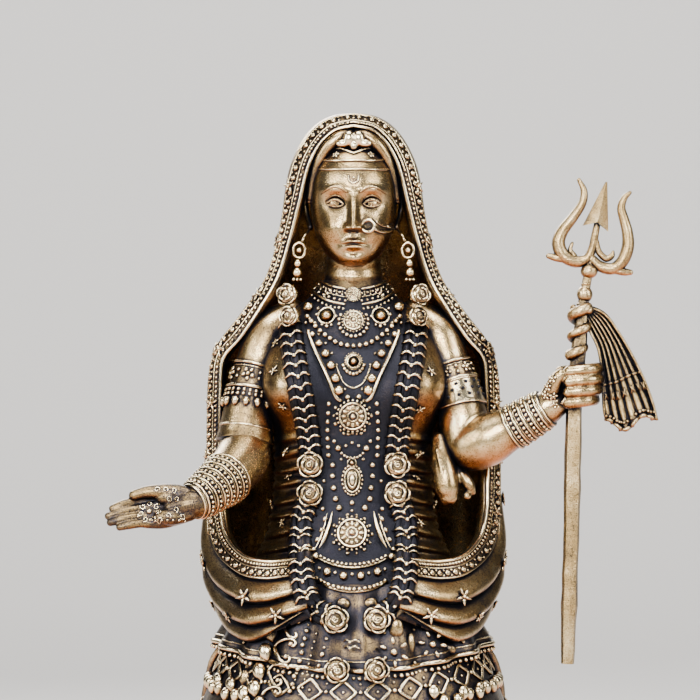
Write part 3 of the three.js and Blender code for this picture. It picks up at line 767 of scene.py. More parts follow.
open_hand = bmesh.new()
FINGERS = [
    # root ahead and across, tip ahead and across, radius
    (4.9, -1.38, 7.5, -0.9, 0.45), (4.9, -0.55, 8.0, -0.2, 0.46), (4.8, 0.27, 7.9, 0.5, 0.45), (4.6, 1.05, 7.1, 1.18, 0.42)]
for root_ahead, root_across, tip_ahead, tip_across, radius in FINGERS:
    bend = (root_ahead + tip_ahead) / 2
    limb(open_hand, [(*in_hand(0.0, root_across * 0.75, -0.1), 0.9), (*in_hand(2.4, root_across * 1.08, -0.35), 0.72),
                     (*in_hand(root_ahead - 0.6, root_across, -0.25), radius * 1.3),
                     (*in_hand(root_ahead + 0.2, root_across, 0.0), radius),
                     (*in_hand(bend, (root_across + tip_across) / 2, 0.28), radius * 1.02),
                     (*in_hand(tip_ahead - 0.3, tip_across, 0.35), radius * 0.86)], 30, 12)
limb(open_hand, [(*in_hand(0.0, -0.85, 0.1), 1.0), (*in_hand(1.4, -1.35, 0.3), 0.95), (*in_hand(2.8, -1.72, 0.45), 0.75),
                 (*in_hand(4.0, -1.85, 0.55), 0.6), (*in_hand(5.0, -1.72, 0.65), 0.5)], 30, 14)
limb(open_hand, [(*in_hand(-0.6, 0, -0.1), 1.45), (*in_hand(0.4, 0, -0.15), 1.4), (*in_hand(1.4, 0.1, -0.3), 1.15)], 16, 20)
sphere(open_hand, in_hand(1.7, -0.95, 0.3), (1.35, 0.8, 0.85))
sphere(open_hand, in_hand(1.9, 1.05, 0.15), (1.6, 0.8, 0.8))
open_hand = fused(open_hand, 0.09, 2)
open_hand.normal_update()
palm_skin = BVHTree.FromBMesh(open_hand)
bmesh.ops.recalc_face_normals(open_hand, faces=open_hand.faces)
finish_piece("open_hand", open_hand, worn_brass)

fist = bmesh.new()
GRIP = [(20.3, -5.4), (21.9, -4.9), (23.3, -5.4), (23.75, -6.9), (23.2, -8.15), (22.1, -8.6), (20.95, -8.4)]
for n in range(4):
    z = FIST_MIDDLE + (1.5 - n) * FINGER_PITCH
    reach = (0.05, 0.15, 0.08, -0.15)[n]
    lean = 0.05 * (z - 82)
    finger = [(x + lean + reach * (x > 23), y - reach, z + 0.1 * (x - 22), 0.6) for x, y in GRIP]
    limb(fist, finger, 30, 14)
limb(fist, [(19.3, -6.5, 81.0, 1.5), (20.0, -6.0, 81.9, 1.55), (20.7, -5.6, 82.8, 1.5), (21.2, -5.6, 83.6, 1.0)], 24, 20)
limb(fist, [(19.2, -7.0, 81.7, 0.95), (19.5, -7.7, 82.6, 0.85), (19.8, -8.1, 83.4, 0.72), (20.2, -8.3, 83.9, 0.6)], 24, 14)
fist = fused(fist, 0.09, 1)
bmesh.ops.recalc_face_normals(fist, faces=fist.faces)
fist_skin = BVHTree.FromBMesh(fist)
finish_piece("fist", fist, skin_brass)


# Bangles and armlets: rows of beads between thin rims, cast on the forearms, and on the upper
# arms two rims with a flower between them and a fringe of drops below.
BANGLE_PITCH = 0.86
RIM_WIRE = 0.13
BANGLE_BEAD = 0.19


def arm_place(path, distance):
    """Centre, direction and radius of a limb at a distance in millimetres from its start."""
    gone = 0
    for here, after in zip(path, path[1:]):
        step = (Vector(after[:3]) - Vector(here[:3])).length
        if gone + step >= distance:
            share = (distance - gone) / step
            centre = Vector(here[:3]).lerp(Vector(after[:3]), share)
            return centre, (Vector(after[:3]) - Vector(here[:3])).normalized(), here[3] + (after[3] - here[3]) * share
        gone += step
    return Vector(path[-1][:3]), (Vector(path[-1][:3]) - Vector(path[-2][:3])).normalized(), path[-1][3]


def round_arm(path, distance, angle, proud):
    """A point on a limb's skin and its outward direction; angle 0 is towards the viewer."""
    centre, way, radius = arm_place(path, distance)
    front = Vector((0, -1, 0))
    front = (front - way * front.dot(way)).normalized()
    out = front * math.cos(angle) + way.cross(front) * math.sin(angle)
    return centre + out * (radius + proud), out


def arm_rim(path, distance, proud, radius, wave=0.0):
    count = 44
    points = [round_arm(path, distance + wave * math.cos(math.tau * n * 8 / count), math.tau * n / count, proud)[0]
              for n in range(count)]
    return points, radius, True


def arm_beads(bm, path, distance, size, shape, proud=0.0, pitch=2.3, stretch=1.0):
    """A row of beads round a limb."""
    _, way, radius = arm_place(path, distance)
    count = round(math.tau * radius / (pitch * size))
    for n in range(count):
        place, out = round_arm(path, distance, math.tau * n / count, proud)
        stamp(bm, shape, place, out, way, size)


def five_petals(bm, petals=5, centre=0.34):
    """A small flower in relief, 1 in radius: round petals about a boss."""
    for n in range(petals):
        angle = math.tau * n / petals
        bmesh.ops.create_uvsphere(bm, u_segments=8, v_segments=5, radius=1, matrix=Matrix.Rotation(angle, 4, "Z")
                                  @ Matrix.Translation((0, 0.62, 0.06)) @ Matrix.Diagonal((0.3, 0.4, 0.26, 1)))
    bmesh.ops.create_uvsphere(bm, u_segments=8, v_segments=5, radius=centre,
                              matrix=Matrix.Translation((0, 0, 0.12)))


def drop_shape(bm):
    """A hanging drop, 1 in radius, with its point down (-Y)."""
    bmesh.ops.create_uvsphere(bm, u_segments=8, v_segments=6, radius=1)
    for corner in bm.verts:
        corner.co.y *= 1.5 if corner.co.y < 0 else 1.0
        if corner.co.y < -0.3:
            corner.co.x *= max(0.25, 1 + (corner.co.y + 0.3) * 0.55)


flower = template(five_petals)
drop = template(drop_shape)
bangles = bmesh.new()
lines = []
for path, first, rows in ((right_fore, 5.9, 6), (left_fore, 5.6, 4)):
    for row in range(rows + 1):
        place = first + row * BANGLE_PITCH
        lines.append(arm_rim(path, place, 0.13, 0.14))
        lines.append(arm_rim(path, place + 0.21, 0.06, 0.08))
        if row < rows:
            arm_beads(bangles, path, place + BANGLE_PITCH * 0.6, 0.21, bead, 0.1)
    lines.append(arm_rim(path, first + rows * BANGLE_PITCH + 0.4, 0.12, 0.13))
for path, upper, lower in ((right_upper, 6.95, 9.2), (left_upper, 6.6, 8.3)):
    middle = (upper + lower) / 2
    lines.append(arm_rim(path, upper, 0.13, 0.16))
    lines.append(arm_rim(path, upper + 0.32, 0.05, 0.08))
    lines.append(arm_rim(path, lower, 0.15, 0.18))
    for n in range(6):
        place, out = round_arm(path, middle, math.tau * n / 6 + 0.25, 0.02)
        stamp(bangles, flower, place, out, arm_place(path, middle)[1], 0.34 * (lower - upper), turn=0.4 * n)
        for shift in (-0.3, 0.3):
            place, out = round_arm(path, middle + shift, math.tau * (n + 0.5) / 6 + 0.25, 0.05)
            stamp(bangles, bead, place, out, size=0.2)
for row in (9.6, 9.98):
    arm_beads(bangles, right_upper, row, 0.22, bead, 0.14, 2.6)
for n in range(14):
    place, out = round_arm(right_upper, 10.6, math.tau * n / 14 + 0.1, 0.14)
    stamp(bangles, drop, place, out, -arm_place(right_upper, 10.6)[1], 0.42)
band = [arm_place(left_upper, 8.4 + 2.7 * n / 12) for n in range(13)]
wires(bangles, [([centre for centre, _, _ in band], [radius + 0.16 + 0.07 * (n in (0, 12)) for n, (_, _, radius) in enumerate(band)],
                 False)], 36)
lines.append(arm_rim(right_upper, 13.15, -0.06, 0.14))
lines.append(arm_rim(left_upper, 8.5, 0.2, 0.1))
lines.append(arm_rim(left_upper, 11.05, 0.2, 0.1))
wires(bangles, lines, 6)
bmesh.ops.recalc_face_normals(bangles, faces=bangles.faces)
finish_piece("bangles", bangles, relief_brass)

# Painted shade: raised studs of blackened brass on the left armlet stand for the shaded holes of its pierced work.
pits = bmesh.new()
for row, place in enumerate((8.95, 9.6, 10.25)):
    for n in range(14):
        spot, out = round_arm(left_upper, place, math.tau * (n + 0.5 * (row % 2)) / 14, 0.13)
        stamp(pits, bead, spot, out, size=0.2)
bmesh.ops.recalc_face_normals(pits, faces=pits.faces)
finish_piece("armlet_holes_painted_shade", pits, ground_brass)

# Hair and head jewels: two smooth lobes of hair parted in the middle, a three-lobed jewel on the
# parting, two fine bands across the brow, a mark, a nose ring with its chain, and earrings.
hair = bmesh.new()
for side in (-1, 1):
    limb(hair, [(side * 0.35, -2.5, 107.75, 0.5), (side * 1.3, -2.75, 107.45, 0.62), (side * 2.3, -2.75, 106.7, 0.66),
                (side * 3.1, -2.5, 105.6, 0.62), (side * 3.7, -2.1, 104.2, 0.55), (side * 4.1, -1.8, 102.7, 0.48),
                (side * 4.35, -1.5, 101.2, 0.4)], 30, 16)
    limb(hair, [(side * 0.9, -1.2, 107.3, 0.9), (side * 2.4, -1.0, 106.2, 1.0), (side * 3.6, -0.6, 104.6, 0.9),
                (side * 4.3, -0.3, 102.4, 0.7)], 24, 14)
bmesh.ops.recalc_face_normals(hair, faces=hair.faces)
finish_piece("hair", hair, skin_brass)

head_jewels = bmesh.new()
lines = [face_line([(-3.1, 105.1), (-1.6, 104.98), (0, 105.0), (1.6, 104.98), (3.25, 105.15)], [0.14] * 5, 0.05, 30),
         face_line([(-3.45, 104.2), (-1.7, 104.1), (0, 104.12), (1.8, 104.1), (3.55, 104.15)], [0.12] * 5, 0.03, 30),
         face_line([(-0.5, 103.55), (-0.42, 103.0), (0, 102.72), (0.42, 103.0), (0.5, 103.55)], [0.08, 0.1, 0.1, 0.1, 0.08], 0.06, 16),
         face_line([(-2.6, 106.2), (-1.3, 106.2), (-0.35, 105.85), (0, 105.7), (0.4, 105.85), (1.3, 106.2), (2.6, 106.2)], [0.12] * 7, 0.08, 30)]
for side in (-1, 1):
    lines.append(face_line([(side * 3.15, 105.1), (side * 3.05, 105.5), (side * 2.6, 106.15)], [0.14, 0.13, 0.1], 0.06, 12))
    hit, normal = on_skin(head_skin, side * 1.75, 105.6, 0.03)
    stamp(head_jewels, flower, hit, normal, size=0.4)
stamp(head_jewels, bead, on_skin(head_skin, 0, 103.25, 0.08)[0], size=0.17)
parting_jewel = bmesh.new()
for x, z, radii in ((-0.45, 107.25, (0.62, 0.5, 0.8)), (0.5, 107.25, (0.62, 0.5, 0.8)), (-1.05, 106.75, (0.75, 0.4, 0.42)),
                    (1.1, 106.75, (0.75, 0.4, 0.42)), (0.02, 106.5, (0.42, 0.45, 0.55))):
    sphere(parting_jewel, Vector((x, -3.3, z)), radii)
parting_jewel = fused(parting_jewel, 0.09, 2)
bmesh.ops.recalc_face_normals(parting_jewel, faces=parting_jewel.faces)
finish_piece("parting_jewel", parting_jewel, relief_brass)
RING_PLACE = (1.42, 98.5)
ring_middle = on_skin(head_skin, *RING_PLACE)[0] + Vector((0, -0.3, 0))
lines.append(([ring_middle + Vector((0.62 * math.cos(math.tau * n / 24), -0.12 * math.cos(math.tau * n / 24), 0.6 * math.sin(math.tau * n / 24)))
               for n in range(24)], 0.17, True))
lines.append(face_line([(1.95, 98.25), (2.5, 98.0), (3.1, 97.98), (3.6, 98.15), (4.0, 98.45)], (0.2, 0.18, 0.18, 0.17, 0.13), 0.12, 20))
lines.append(face_line([(1.3, 99.15), (1.9, 99.2), (2.4, 98.75), (3.1, 98.5), (3.9, 98.75)], (0.08, 0.09, 0.08, 0.08, 0.06), 0.1, 20))
for side in (-1, 1):
    lines.append(([(side * 4.4, -1.2, 98.3), (side * 4.9, -1.8, 97.6), (side * 5.2, -2.1, 96.9)], 0.12, False))
    lines.append(([(side * (5.4 + 0.6 * math.cos(math.tau * n / 20)), -2.2, 96.2 + 0.75 * math.sin(math.tau * n / 20)) for n in range(20)],
                  0.14, True))
    sphere(head_jewels, Vector((side * 5.4, -2.2, 96.2)), (0.28, 0.25, 0.28))
    sphere(head_jewels, Vector((side * 5.55, -2.3, 94.9)), (0.36, 0.36, 0.42))
    sphere(head_jewels, Vector((side * 5.6, -2.3, 94.0)), (0.45, 0.42, 0.5))
    for n in range(3):
        stamp(head_jewels, bead, Vector((side * (5.25 + 0.35 * n), -2.4, 93.3)), size=0.17)
wires(head_jewels, lines, 6)
bmesh.ops.recalc_face_normals(head_jewels, faces=head_jewels.faces)
finish_piece("head_jewels", head_jewels, relief_brass)


# Palm ornament: a painted pattern of curls round a boss on the open palm, and a chain of small
# flowers over the back of the fist, cast in low relief.
hand_jewels = bmesh.new()
lines = []


def on_palm(ahead, across, lift=0.0):
    hit = palm_skin.ray_cast(in_hand(ahead, across, 4), -HAND_UP)[0]
    if hit is None:
        hit = palm_skin.find_nearest(in_hand(ahead, across))[0]
    return hit + HAND_UP * lift


PALM_BOSS = (3.75, 0.15)
for n in range(7):
    angle = math.tau * n / 7
    centre = (PALM_BOSS[0] + 0.85 * math.cos(angle), PALM_BOSS[1] + 0.85 * math.sin(angle))
    curl = [on_palm(centre[0] + 0.34 * (1 - k / 12) * math.cos(angle + k * 0.75),
                    centre[1] + 0.34 * (1 - k / 12) * math.sin(angle + k * 0.75), 0.03) for k in range(10)]
    lines.append((curl, 0.075, False))
stamp(hand_jewels, bead, on_palm(*PALM_BOSS, 0.12), HAND_UP, HAND_AHEAD, 0.3)
for ahead, across in ((1.1, -1.2), (1.9, -1.45), (2.7, -1.6), (1.0, -0.3), (1.7, -0.5), (1.2, 0.7), (2.0, 1.2), (2.9, 1.4), (0.7, 1.4)):
    curl = [on_palm(ahead + 0.3 * (1 - k / 12) * math.cos(k * 0.8 + ahead), across + 0.3 * (1 - k / 12) * math.sin(k * 0.8 + ahead),
                    0.03) for k in range(9)]
    lines.append((curl, 0.07, False))
for n in range(9):
    stamp(hand_jewels, bead, on_palm(0.5 + 0.55 * n, 1.75 - 0.02 * n * n, 0.05), HAND_UP, HAND_AHEAD, 0.13)
for place in ((19.5, -8.3, 81.7), (19.1, -8.2, 82.7), (19.4, -8.6, 83.5), (18.8, -7.9, 81.9), (19.9, -8.0, 81.0)):
    hit, normal, _, _ = fist_skin.find_nearest(Vector(place))
    stamp(hand_jewels, flower, hit, normal, size=0.5)
for n in range(9):
    hit, normal, _, _ = fist_skin.find_nearest(Vector((19.0 + 0.2 * n, -8.6, 80.7 + 0.1 * n)))
    stamp(hand_jewels, bead, hit, normal, size=0.16)
wires(hand_jewels, lines, 6)
bmesh.ops.recalc_face_normals(hand_jewels, faces=hand_jewels.faces)
finish_piece("hand_jewels", hand_jewels, relief_brass)


# Necklaces: a choker, two strings of beads, a stiff collar that comes to a V, and medallions
# down the front, all cast in low relief on the dark ground of the blouse.
def seen(x, z, skins, lift=0.0):
    """Where the casting carries something that the front view shows at (x, z), and its normal there.
    x and z are measured on the upright plane through the middle of the figure."""
    eye = Vector((EYE_SIDE, -EYE_DISTANCE, EYE_HEIGHT))
    way = (Vector((x, 0, z)) - eye).normalized()
    hits = [hit for hit in (skin.ray_cast(eye, way) for skin in skins) if hit[0] is not None]
    if not hits:
        hits = [skin.find_nearest(Vector((x, -5, z))) for skin in skins]
    hit, normal, _, _ = min(hits, key=lambda found: (found[0] - eye).length)
    if normal.y > 0:
        normal = -normal
    return hit + normal * lift, normal


def walk(path, pitch):
    """The points of a fine path that lie an even pitch apart."""
    kept, due = [path[0]], pitch
    for here, after in zip(path, path[1:]):
        step = math.dist(here, after)
        due -= step
        if due <= 0:
            kept.append(after)
            due += pitch
    return kept


def evenly(places, pitch):
    """Points at an even pitch along a smooth line through the given ones."""
    return walk(smooth_path(places, 40 * len(places)), pitch)


def string_of_beads(bm, places, size, pitch, skins, lift=0.0):
    for x, z in evenly(places, pitch):
        hit, normal = seen(x, z, skins, lift)
        stamp(bm, bead, hit, normal, size=size)


def raised_line(places, radius, skins, lift=0.0, count=24, taper=False):
    path = smooth_path(places, count)
    radii = [radius * (math.sin(math.pi * min(0.96, max(0.04, k / (count - 1)))) if taper else 1) for k in range(count)]
    return [seen(x, z, skins, lift)[0] for x, z in path], radii, False


def both(places):
    """A line of places and its mirror image."""
    return [[(side * x, z) for x, z in places] for side in (-1, 1)]


def medallion_shape(bm, slots=12, rim_beads=22):
    bmesh.ops.create_uvsphere(bm, u_segments=32, v_segments=8, radius=1, matrix=Matrix.Diagonal((0.97, 0.97, 0.3, 1)))
    ring = [(math.cos(math.tau * n / 32), math.sin(math.tau * n / 32)) for n in range(32)]
    wires(bm, [([(0.9 * x, 0.9 * y, 0.2) for x, y in ring], 0.09, True),
               ([(0.34 * x, 0.34 * y, 0.33) for x, y in ring[::2]], 0.06, True)])
    for n in range(slots):
        bmesh.ops.create_uvsphere(bm, u_segments=6, v_segments=4, radius=1, matrix=Matrix.Rotation(
            math.tau * n / slots, 4, "Z") @ Matrix.Translation((0, 0.6, 0.22)) @ Matrix.Diagonal((0.14, 0.25, 0.13, 1)))
    for n in range(rim_beads):
        bmesh.ops.create_uvsphere(bm, u_segments=6, v_segments=4, radius=0.115, matrix=Matrix.Rotation(
            math.tau * n / rim_beads, 4, "Z") @ Matrix.Translation((0, 1.08, 0.06)))
    bmesh.ops.create_uvsphere(bm, u_segments=10, v_segments=6, radius=0.2, matrix=Matrix.Translation((0, 0, 0.36)))


def gem_shape(bm):
    """A cut stone: an eight-sided pyramid on a round setting."""
    bmesh.ops.create_cone(bm, cap_ends=True, segments=8, radius1=0.92, radius2=0.1, depth=0.7,
                          matrix=Matrix.Translation((0, 0, 0.35)))
    ring = [(math.cos(math.tau * n / 16), math.sin(math.tau * n / 16), 0.05) for n in range(16)]
    wires(bm, [(ring, 0.13, True)])


def rose_shape(bm):
    """A rose 1 in radius: a dome with two whorls of curled petal edges round a bud."""
    bmesh.ops.create_uvsphere(bm, u_segments=20, v_segments=8, radius=1, matrix=Matrix.Diagonal((0.92, 0.92, 0.5, 1)))
    lines = []
    for whorl, radius, height, petals, swing in ((0, 0.88, 0.24, 5, 0.0), (1, 0.52, 0.44, 4, 0.5)):
        for n in range(petals):
            middle = math.tau * (n + swing) / petals
            reach = math.pi / petals * 1.12
            points = []
            for k in range(9):
                share = k / 4 - 1
                out = radius * (1.0 - 0.16 * share ** 2) + 0.05 * share
                angle = middle + reach * share
                points.append((out * math.cos(angle), out * math.sin(angle), height + 0.1 * (1 - share ** 2)))
            lines.append((points, [0.05 + 0.05 * (1 - (k / 4 - 1) ** 2) for k in range(9)], False))
    bud = [(0.24 * (1 - k / 14) * math.cos(k * 0.8), 0.24 * (1 - k / 14) * math.sin(k * 0.8), 0.52 + 0.01 * k) for k in range(12)]
    lines.append((bud, 0.075, False))
    wires(bm, lines)


def star_shape(bm, arms=5):
    """A small pointed star in relief, 1 in radius."""
    lines = [([(0, 0, 0.1), (0.55 * math.sin(a), 0.55 * math.cos(a), 0.2), (math.sin(a), math.cos(a), 0.3)],
              [0.2, 0.17, 0.03], False) for a in (math.tau * n / arms for n in range(arms))]
    wires(bm, lines)
    bmesh.ops.create_uvsphere(bm, u_segments=8, v_segments=5, radius=0.24, matrix=Matrix.Translation((0, 0, 0.22)))


medallion = template(medallion_shape)
gem = template(gem_shape)
rose = template(rose_shape)
star = template(star_shape)
chest = [trunk_skin]
necklaces = bmesh.new()
lines = []

CHOKER_RAILS = ([(0.75, 92.25), (1.9, 92.5), (2.8, 92.85), (3.6, 93.4)], [(0.8, 90.75), (1.9, 90.95), (3.0, 91.35), (3.9, 92.0)])
for side in (-1, 1):
    upper, lower = ([(side * x, z) for x, z in rail] for rail in CHOKER_RAILS)
    lines += [raised_line(upper, 0.13, chest, 0.35), raised_line(lower, 0.12, chest, 0.3)]
    middle = [((a[0] + b[0]) / 2, (a[1] + b[1]) / 2) for a, b in zip(upper, lower)]
    lines.append(raised_line(middle, 0.05, chest, 0.28))
    for share in (0.27, 0.75):
        row = [(a[0] * (1 - share) + b[0] * share, a[1] * (1 - share) + b[1] * share) for a, b in zip(upper, lower)]
        string_of_beads(necklaces, row, 0.15, 0.52, chest, 0.3)
        if share < 0.5:
            for x, z in evenly(row, 0.52):
                lines.append(raised_line([(x + side * 0.26, z + 0.3), (x + side * 0.3, z - 0.3)], 0.06, chest, 0.33, 4))
    string_of_beads(necklaces, [(side * 1.0, 90.35), (side * 2.4, 90.6), (side * 3.6, 91.2), (side * 4.3, 91.9)],
                    0.14, 0.42, chest, 0.2)
hit, normal = seen(0, 91.75, chest, 0.3)
stamp(necklaces, medallion, hit, normal, size=0.68)

hit, normal = seen(0, 89.1, chest, 0.35)
stamp(necklaces, medallion, hit, normal, size=1.02)
for n in range(14):
    angle = math.radians(150 + 240 * n / 13)
    place, _ = seen(1.42 * math.cos(angle), 89.0 + 1.42 * math.sin(angle), chest, 0.22)
    stamp(necklaces, bead, place, normal, size=0.22)
for side in (-1, 1):
    for x, z, size, shape in ((2.65, 89.65, 0.85, gem), (4.4, 90.45, 0.55, drop), (1.75, 89.6, 0.2, bead), (3.6, 89.75, 0.2, bead),
                              (2.65, 88.6, 0.22, bead), (2.2, 88.75, 0.16, bead), (3.1, 88.75, 0.16, bead), (1.4, 90.5, 0.17, bead),
                              (3.45, 90.35, 0.17, bead), (4.3, 89.3, 0.2, bead), (3.8, 88.9, 0.2, bead), (4.7, 88.9, 0.2, bead)):
        hit, normal = seen(side * x, z, chest, 0.2)
        stamp(necklaces, shape, hit, normal, size=size, turn=side * (2.2 if shape is drop else 0))

STRING = [(0, 86.62), (0.9, 86.72), (1.7, 86.97), (2.6, 87.55), (3.5, 88.3), (4.15, 89.05), (4.7, 89.7)]
for places in both(STRING):
    string_of_beads(necklaces, places, 0.29, 0.62, chest, 0.25)
COLLAR_BEADS = [(4.05, 87.7, 0.33), (3.42, 86.8, 0.4), (2.8, 85.8, 0.48), (2.32, 84.65, 0.5), (1.88, 83.4, 0.52), (1.5, 82.25, 0.55)]
COLLAR_RIM = [(4.45, 88.1), (4.35, 87.5), (3.95, 86.4), (3.35, 85.05), (2.6, 83.35), (2.05, 82.1), (1.7, 81.5), (1.25, 81.2)]
COLLAR_INNER = [(2.6, 88.0), (2.1, 86.0), (1.75, 84.7), (1.25, 83.4), (0.7, 82.75), (0, 82.45)]
for side in (-1, 1):
    lines.append(raised_line([(side * x, z) for x, z in COLLAR_RIM], 0.2, chest, 0.35, 30))
    lines.append(raised_line([(side * x, z) for x, z in COLLAR_INNER[2:]], 0.09, chest, 0.2, 16))
    for x, z, size in COLLAR_BEADS:
        hit, normal = seen(side * x, z, chest, 0.35)
        stamp(necklaces, bead, hit, normal, size=size)
        hit, normal = seen(side * (x - 0.62), z + 0.12, chest, 0.12)
        stamp(necklaces, bead, hit, normal, size=0.17)

hit, normal = seen(0, 85.1, chest, 0.3)
stamp(necklaces, gem, hit, normal, size=0.6)
stamp(necklaces, medallion, hit - normal * 0.25, normal, size=0.82)
stamp(necklaces, bead, hit + normal * 0.5, normal, size=0.3)
for n in range(9):
    angle = math.radians(195 + 150 * n / 8)
    place, _ = seen(1.08 * math.cos(angle), 85.0 + 1.12 * math.sin(angle), chest, 0.2)
    stamp(necklaces, bead, place, normal, size=0.23)

for x, z, size in ((-0.1, 79.75, 1.42), (-0.15, 67.85, 1.5)):
    hit, normal = seen(x, z, chest, 0.55)
    stamp(necklaces, medallion, hit, normal, size=size)
    for n in range(14):
        angle = math.tau * n / 14
        place, _ = seen(x + 1.3 * size * math.cos(angle), z + 1.3 * size * math.sin(angle), chest, 0.1)
        stamp(necklaces, bead, place, normal, size=0.17 if n % 2 else 0.24)
SMALL_BEADS = [(-0.6, 81.55, 0.33), (0.55, 81.6, 0.33), (-1.5, 76.5, 0.36), (1.25, 76.5, 0.36), (-0.75, 76.75, 0.2), (0.5, 76.75, 0.2),
               (-0.15, 77.05, 0.2), (-1.9, 77.2, 0.22), (1.65, 77.2, 0.22), (-2.05, 74.8, 0.3), (-2.05, 73.7, 0.3), (-1.95, 72.5, 0.32),
               (-1.75, 71.4, 0.34), (-1.4, 70.5, 0.36), (1.85, 74.8, 0.3), (1.85, 73.7, 0.3), (1.7, 72.5, 0.32), (1.6, 71.4, 0.34),
               (1.1, 70.5, 0.36), (-0.15, 71.0, 0.3), (-0.15, 70.2, 0.2), (-3.0, 70.4, 0.24), (2.8, 70.4, 0.24), (-2.9, 73.2, 0.2),
               (2.7, 73.2, 0.2), (-1.2, 75.4, 0.18), (0.95, 75.4, 0.18), (-0.95, 78.0, 0.2), (0.75, 78.0, 0.2), (-0.1, 78.0, 0.18)]
for x, z, size in SMALL_BEADS:
    hit, normal = seen(x, z, chest, 0.2)
    stamp(necklaces, bead, hit, normal, size=size)
for x in (-2.5, 2.35):
    string_of_beads(necklaces, [(x, 80.95), (x * 1.03, 78.4), (x * 0.98, 75.7)], 0.27, 0.86, chest, 0.22)
for side in (-1, 1):
    for k in range(4):
        hit, normal = seen(side * (0.2 + 0.28 * k) - 0.12, 75.55 + 0.05 * k * k, chest, 0.3)
        stamp(necklaces, bead, hit, normal, size=0.17)
hit, normal = seen(-0.15, 75.05, chest, 0.35)
stamp(necklaces, gem, hit, normal, size=0.42)
oval = [(-0.12 + 0.72 * math.cos(math.tau * n / 28), 73.3 + 1.22 * math.sin(math.tau * n / 28)) for n in range(28)]
lines.append(([seen(x, z, chest, 0.45)[0] for x, z in oval], 0.11, True))
lines.append(([seen(-0.12 + (x + 0.12) * 0.55, 73.3 + (z - 73.3) * 0.6, chest, 0.6)[0] for x, z in oval], 0.08, True))
for n in range(22):
    angle = math.tau * n / 22
    hit, normal = seen(-0.12 + 0.95 * math.cos(angle), 73.3 + 1.5 * math.sin(angle), chest, 0.25)
    stamp(necklaces, bead, hit, normal, size=0.17)
hit, normal = seen(-0.12, 73.3, chest, 0.3)
sphere(necklaces, hit, (0.62, 0.3, 1.1))
sphere(necklaces, hit + Vector((0, -0.25, 0)), (0.26, 0.2, 0.55))

CRESCENT = [(2.0, 70.15), (2.3, 68.7), (2.75, 67.4), (3.3, 66.35)]
for side in (-1, 1):
    lines.append(raised_line([(side * x - 0.05, z) for x, z in CRESCENT], 0.24, chest, 0.35, 20, taper=True))
    lines.append(raised_line([(side * (x + 0.5) - 0.05, z - 0.15) for x, z in CRESCENT], 0.12, chest, 0.25, 20, taper=True))
    for x, z in ((2.75, 69.4), (3.1, 68.3), (3.5, 67.3), (3.9, 66.3)):
        hit, normal = seen(side * x, z, chest, 0.2)
        stamp(necklaces, drop, hit, normal, size=0.27, turn=side * 0.6)
wires(necklaces, lines, 6)
bmesh.ops.recalc_face_normals(necklaces, faces=necklaces.faces)
finish_piece("necklaces", necklaces, relief_brass)


# Garland: a thick double rope of small flowers laid round the neck, held together by pairs of
# roses at the shoulders and the waist, whose ends meet in roses above the hem.
GARLAND_UPPER = [(-6.3, 88.7), (-6.21, 88.0), (-5.95, 85.9), (-5.65, 83.9), (-5.2, 81.6), (-4.78, 79.6), (-4.4, 77.4), (-4.2, 75.6)]
GARLAND_LOWER = [(-4.5, 71.0), (-5.05, 69.6), (-5.2, 67.9), (-5.28, 66.0), (-5.2, 64.4), (-5.0, 62.9), (-4.6, 61.4), (-3.7, 60.3), (-2.6, 59.8)]
PAIRED_ROSES = [(-4.05, 74.85, 1.4), (-4.15, 71.9, 1.4)]
END_ROSES = [(-1.98, 59.2, 1.45), (-1.9, 54.3, 1.35)]


def petal_edge_shape(bm):
    """One row of the garland, 1.3 in half width: the turned edges of its petals, with a knob in the middle."""
    half = [(0, -0.12, 0.34), (0.26, 0.02, 0.3), (0.5, 0.2, 0.26), (0.78, 0.2, 0.14), (1.02, 0.04, -0.06), (1.28, -0.16, -0.36)]
    edge = [(-x, y, z) for x, y, z in reversed(half[1:])] + half
    radii = [0.07, 0.12, 0.15, 0.14, 0.08, 0.1]
    wires(bm, [(edge, radii[:5] + [radii[5]] + radii[4::-1], False)])
    bmesh.ops.create_uvsphere(bm, u_segments=8, v_segments=5, radius=1,
                              matrix=Matrix.Translation((0, -0.16, 0.36)) @ Matrix.Diagonal((0.19, 0.27, 0.2, 1)))


petal_edge = template(petal_edge_shape)
CORDS = [(0, 0.72, 0.0), (-0.62, 0.6, -0.12), (0.62, 0.6, -0.12)]
RIBS = [(-1.05, -0.32), (-0.62, 0.18), (-0.28, 0.36), (0.28, 0.36), (0.62, 0.18), (1.05, -0.32)]
ground = [trunk_skin, hip_skin, peplum_skin, skirt_skin]
cords = bmesh.new()
garland = bmesh.new()
lines = []
for side in (-1, 1):
    for places, pitch in ((GARLAND_UPPER, 1.02), (GARLAND_LOWER, 0.88)):
        rows = evenly([(-side * x, z) for x, z in places], pitch)
        spine = [seen(x, z, ground, 0.0)[0] for x, z in rows]
        frames = []
        for n, place in enumerate(spine):
            before, after = spine[max(0, n - 1)], spine[min(len(spine) - 1, n + 1)]
            up = (before - after).normalized()
            out = (seen(*rows[n], ground)[1] + Vector((0, -1.6, 0))).normalized()
            across = up.cross(out).normalized()
            frames.append((place, across, out))
            stamp(garland, petal_edge, place + out * 0.66, out, up, size=1.0, turn=0.06 * math.sin(2.3 * n))
        for shift, radius, rise in CORDS:
            lines.append(([place + across * shift + out * (0.1 + rise) for place, across, out in frames], radius, False))
        for shift, rise in RIBS:
            lines.append(([place + across * shift + out * (0.42 + rise) for place, across, out in frames], 0.09, False))
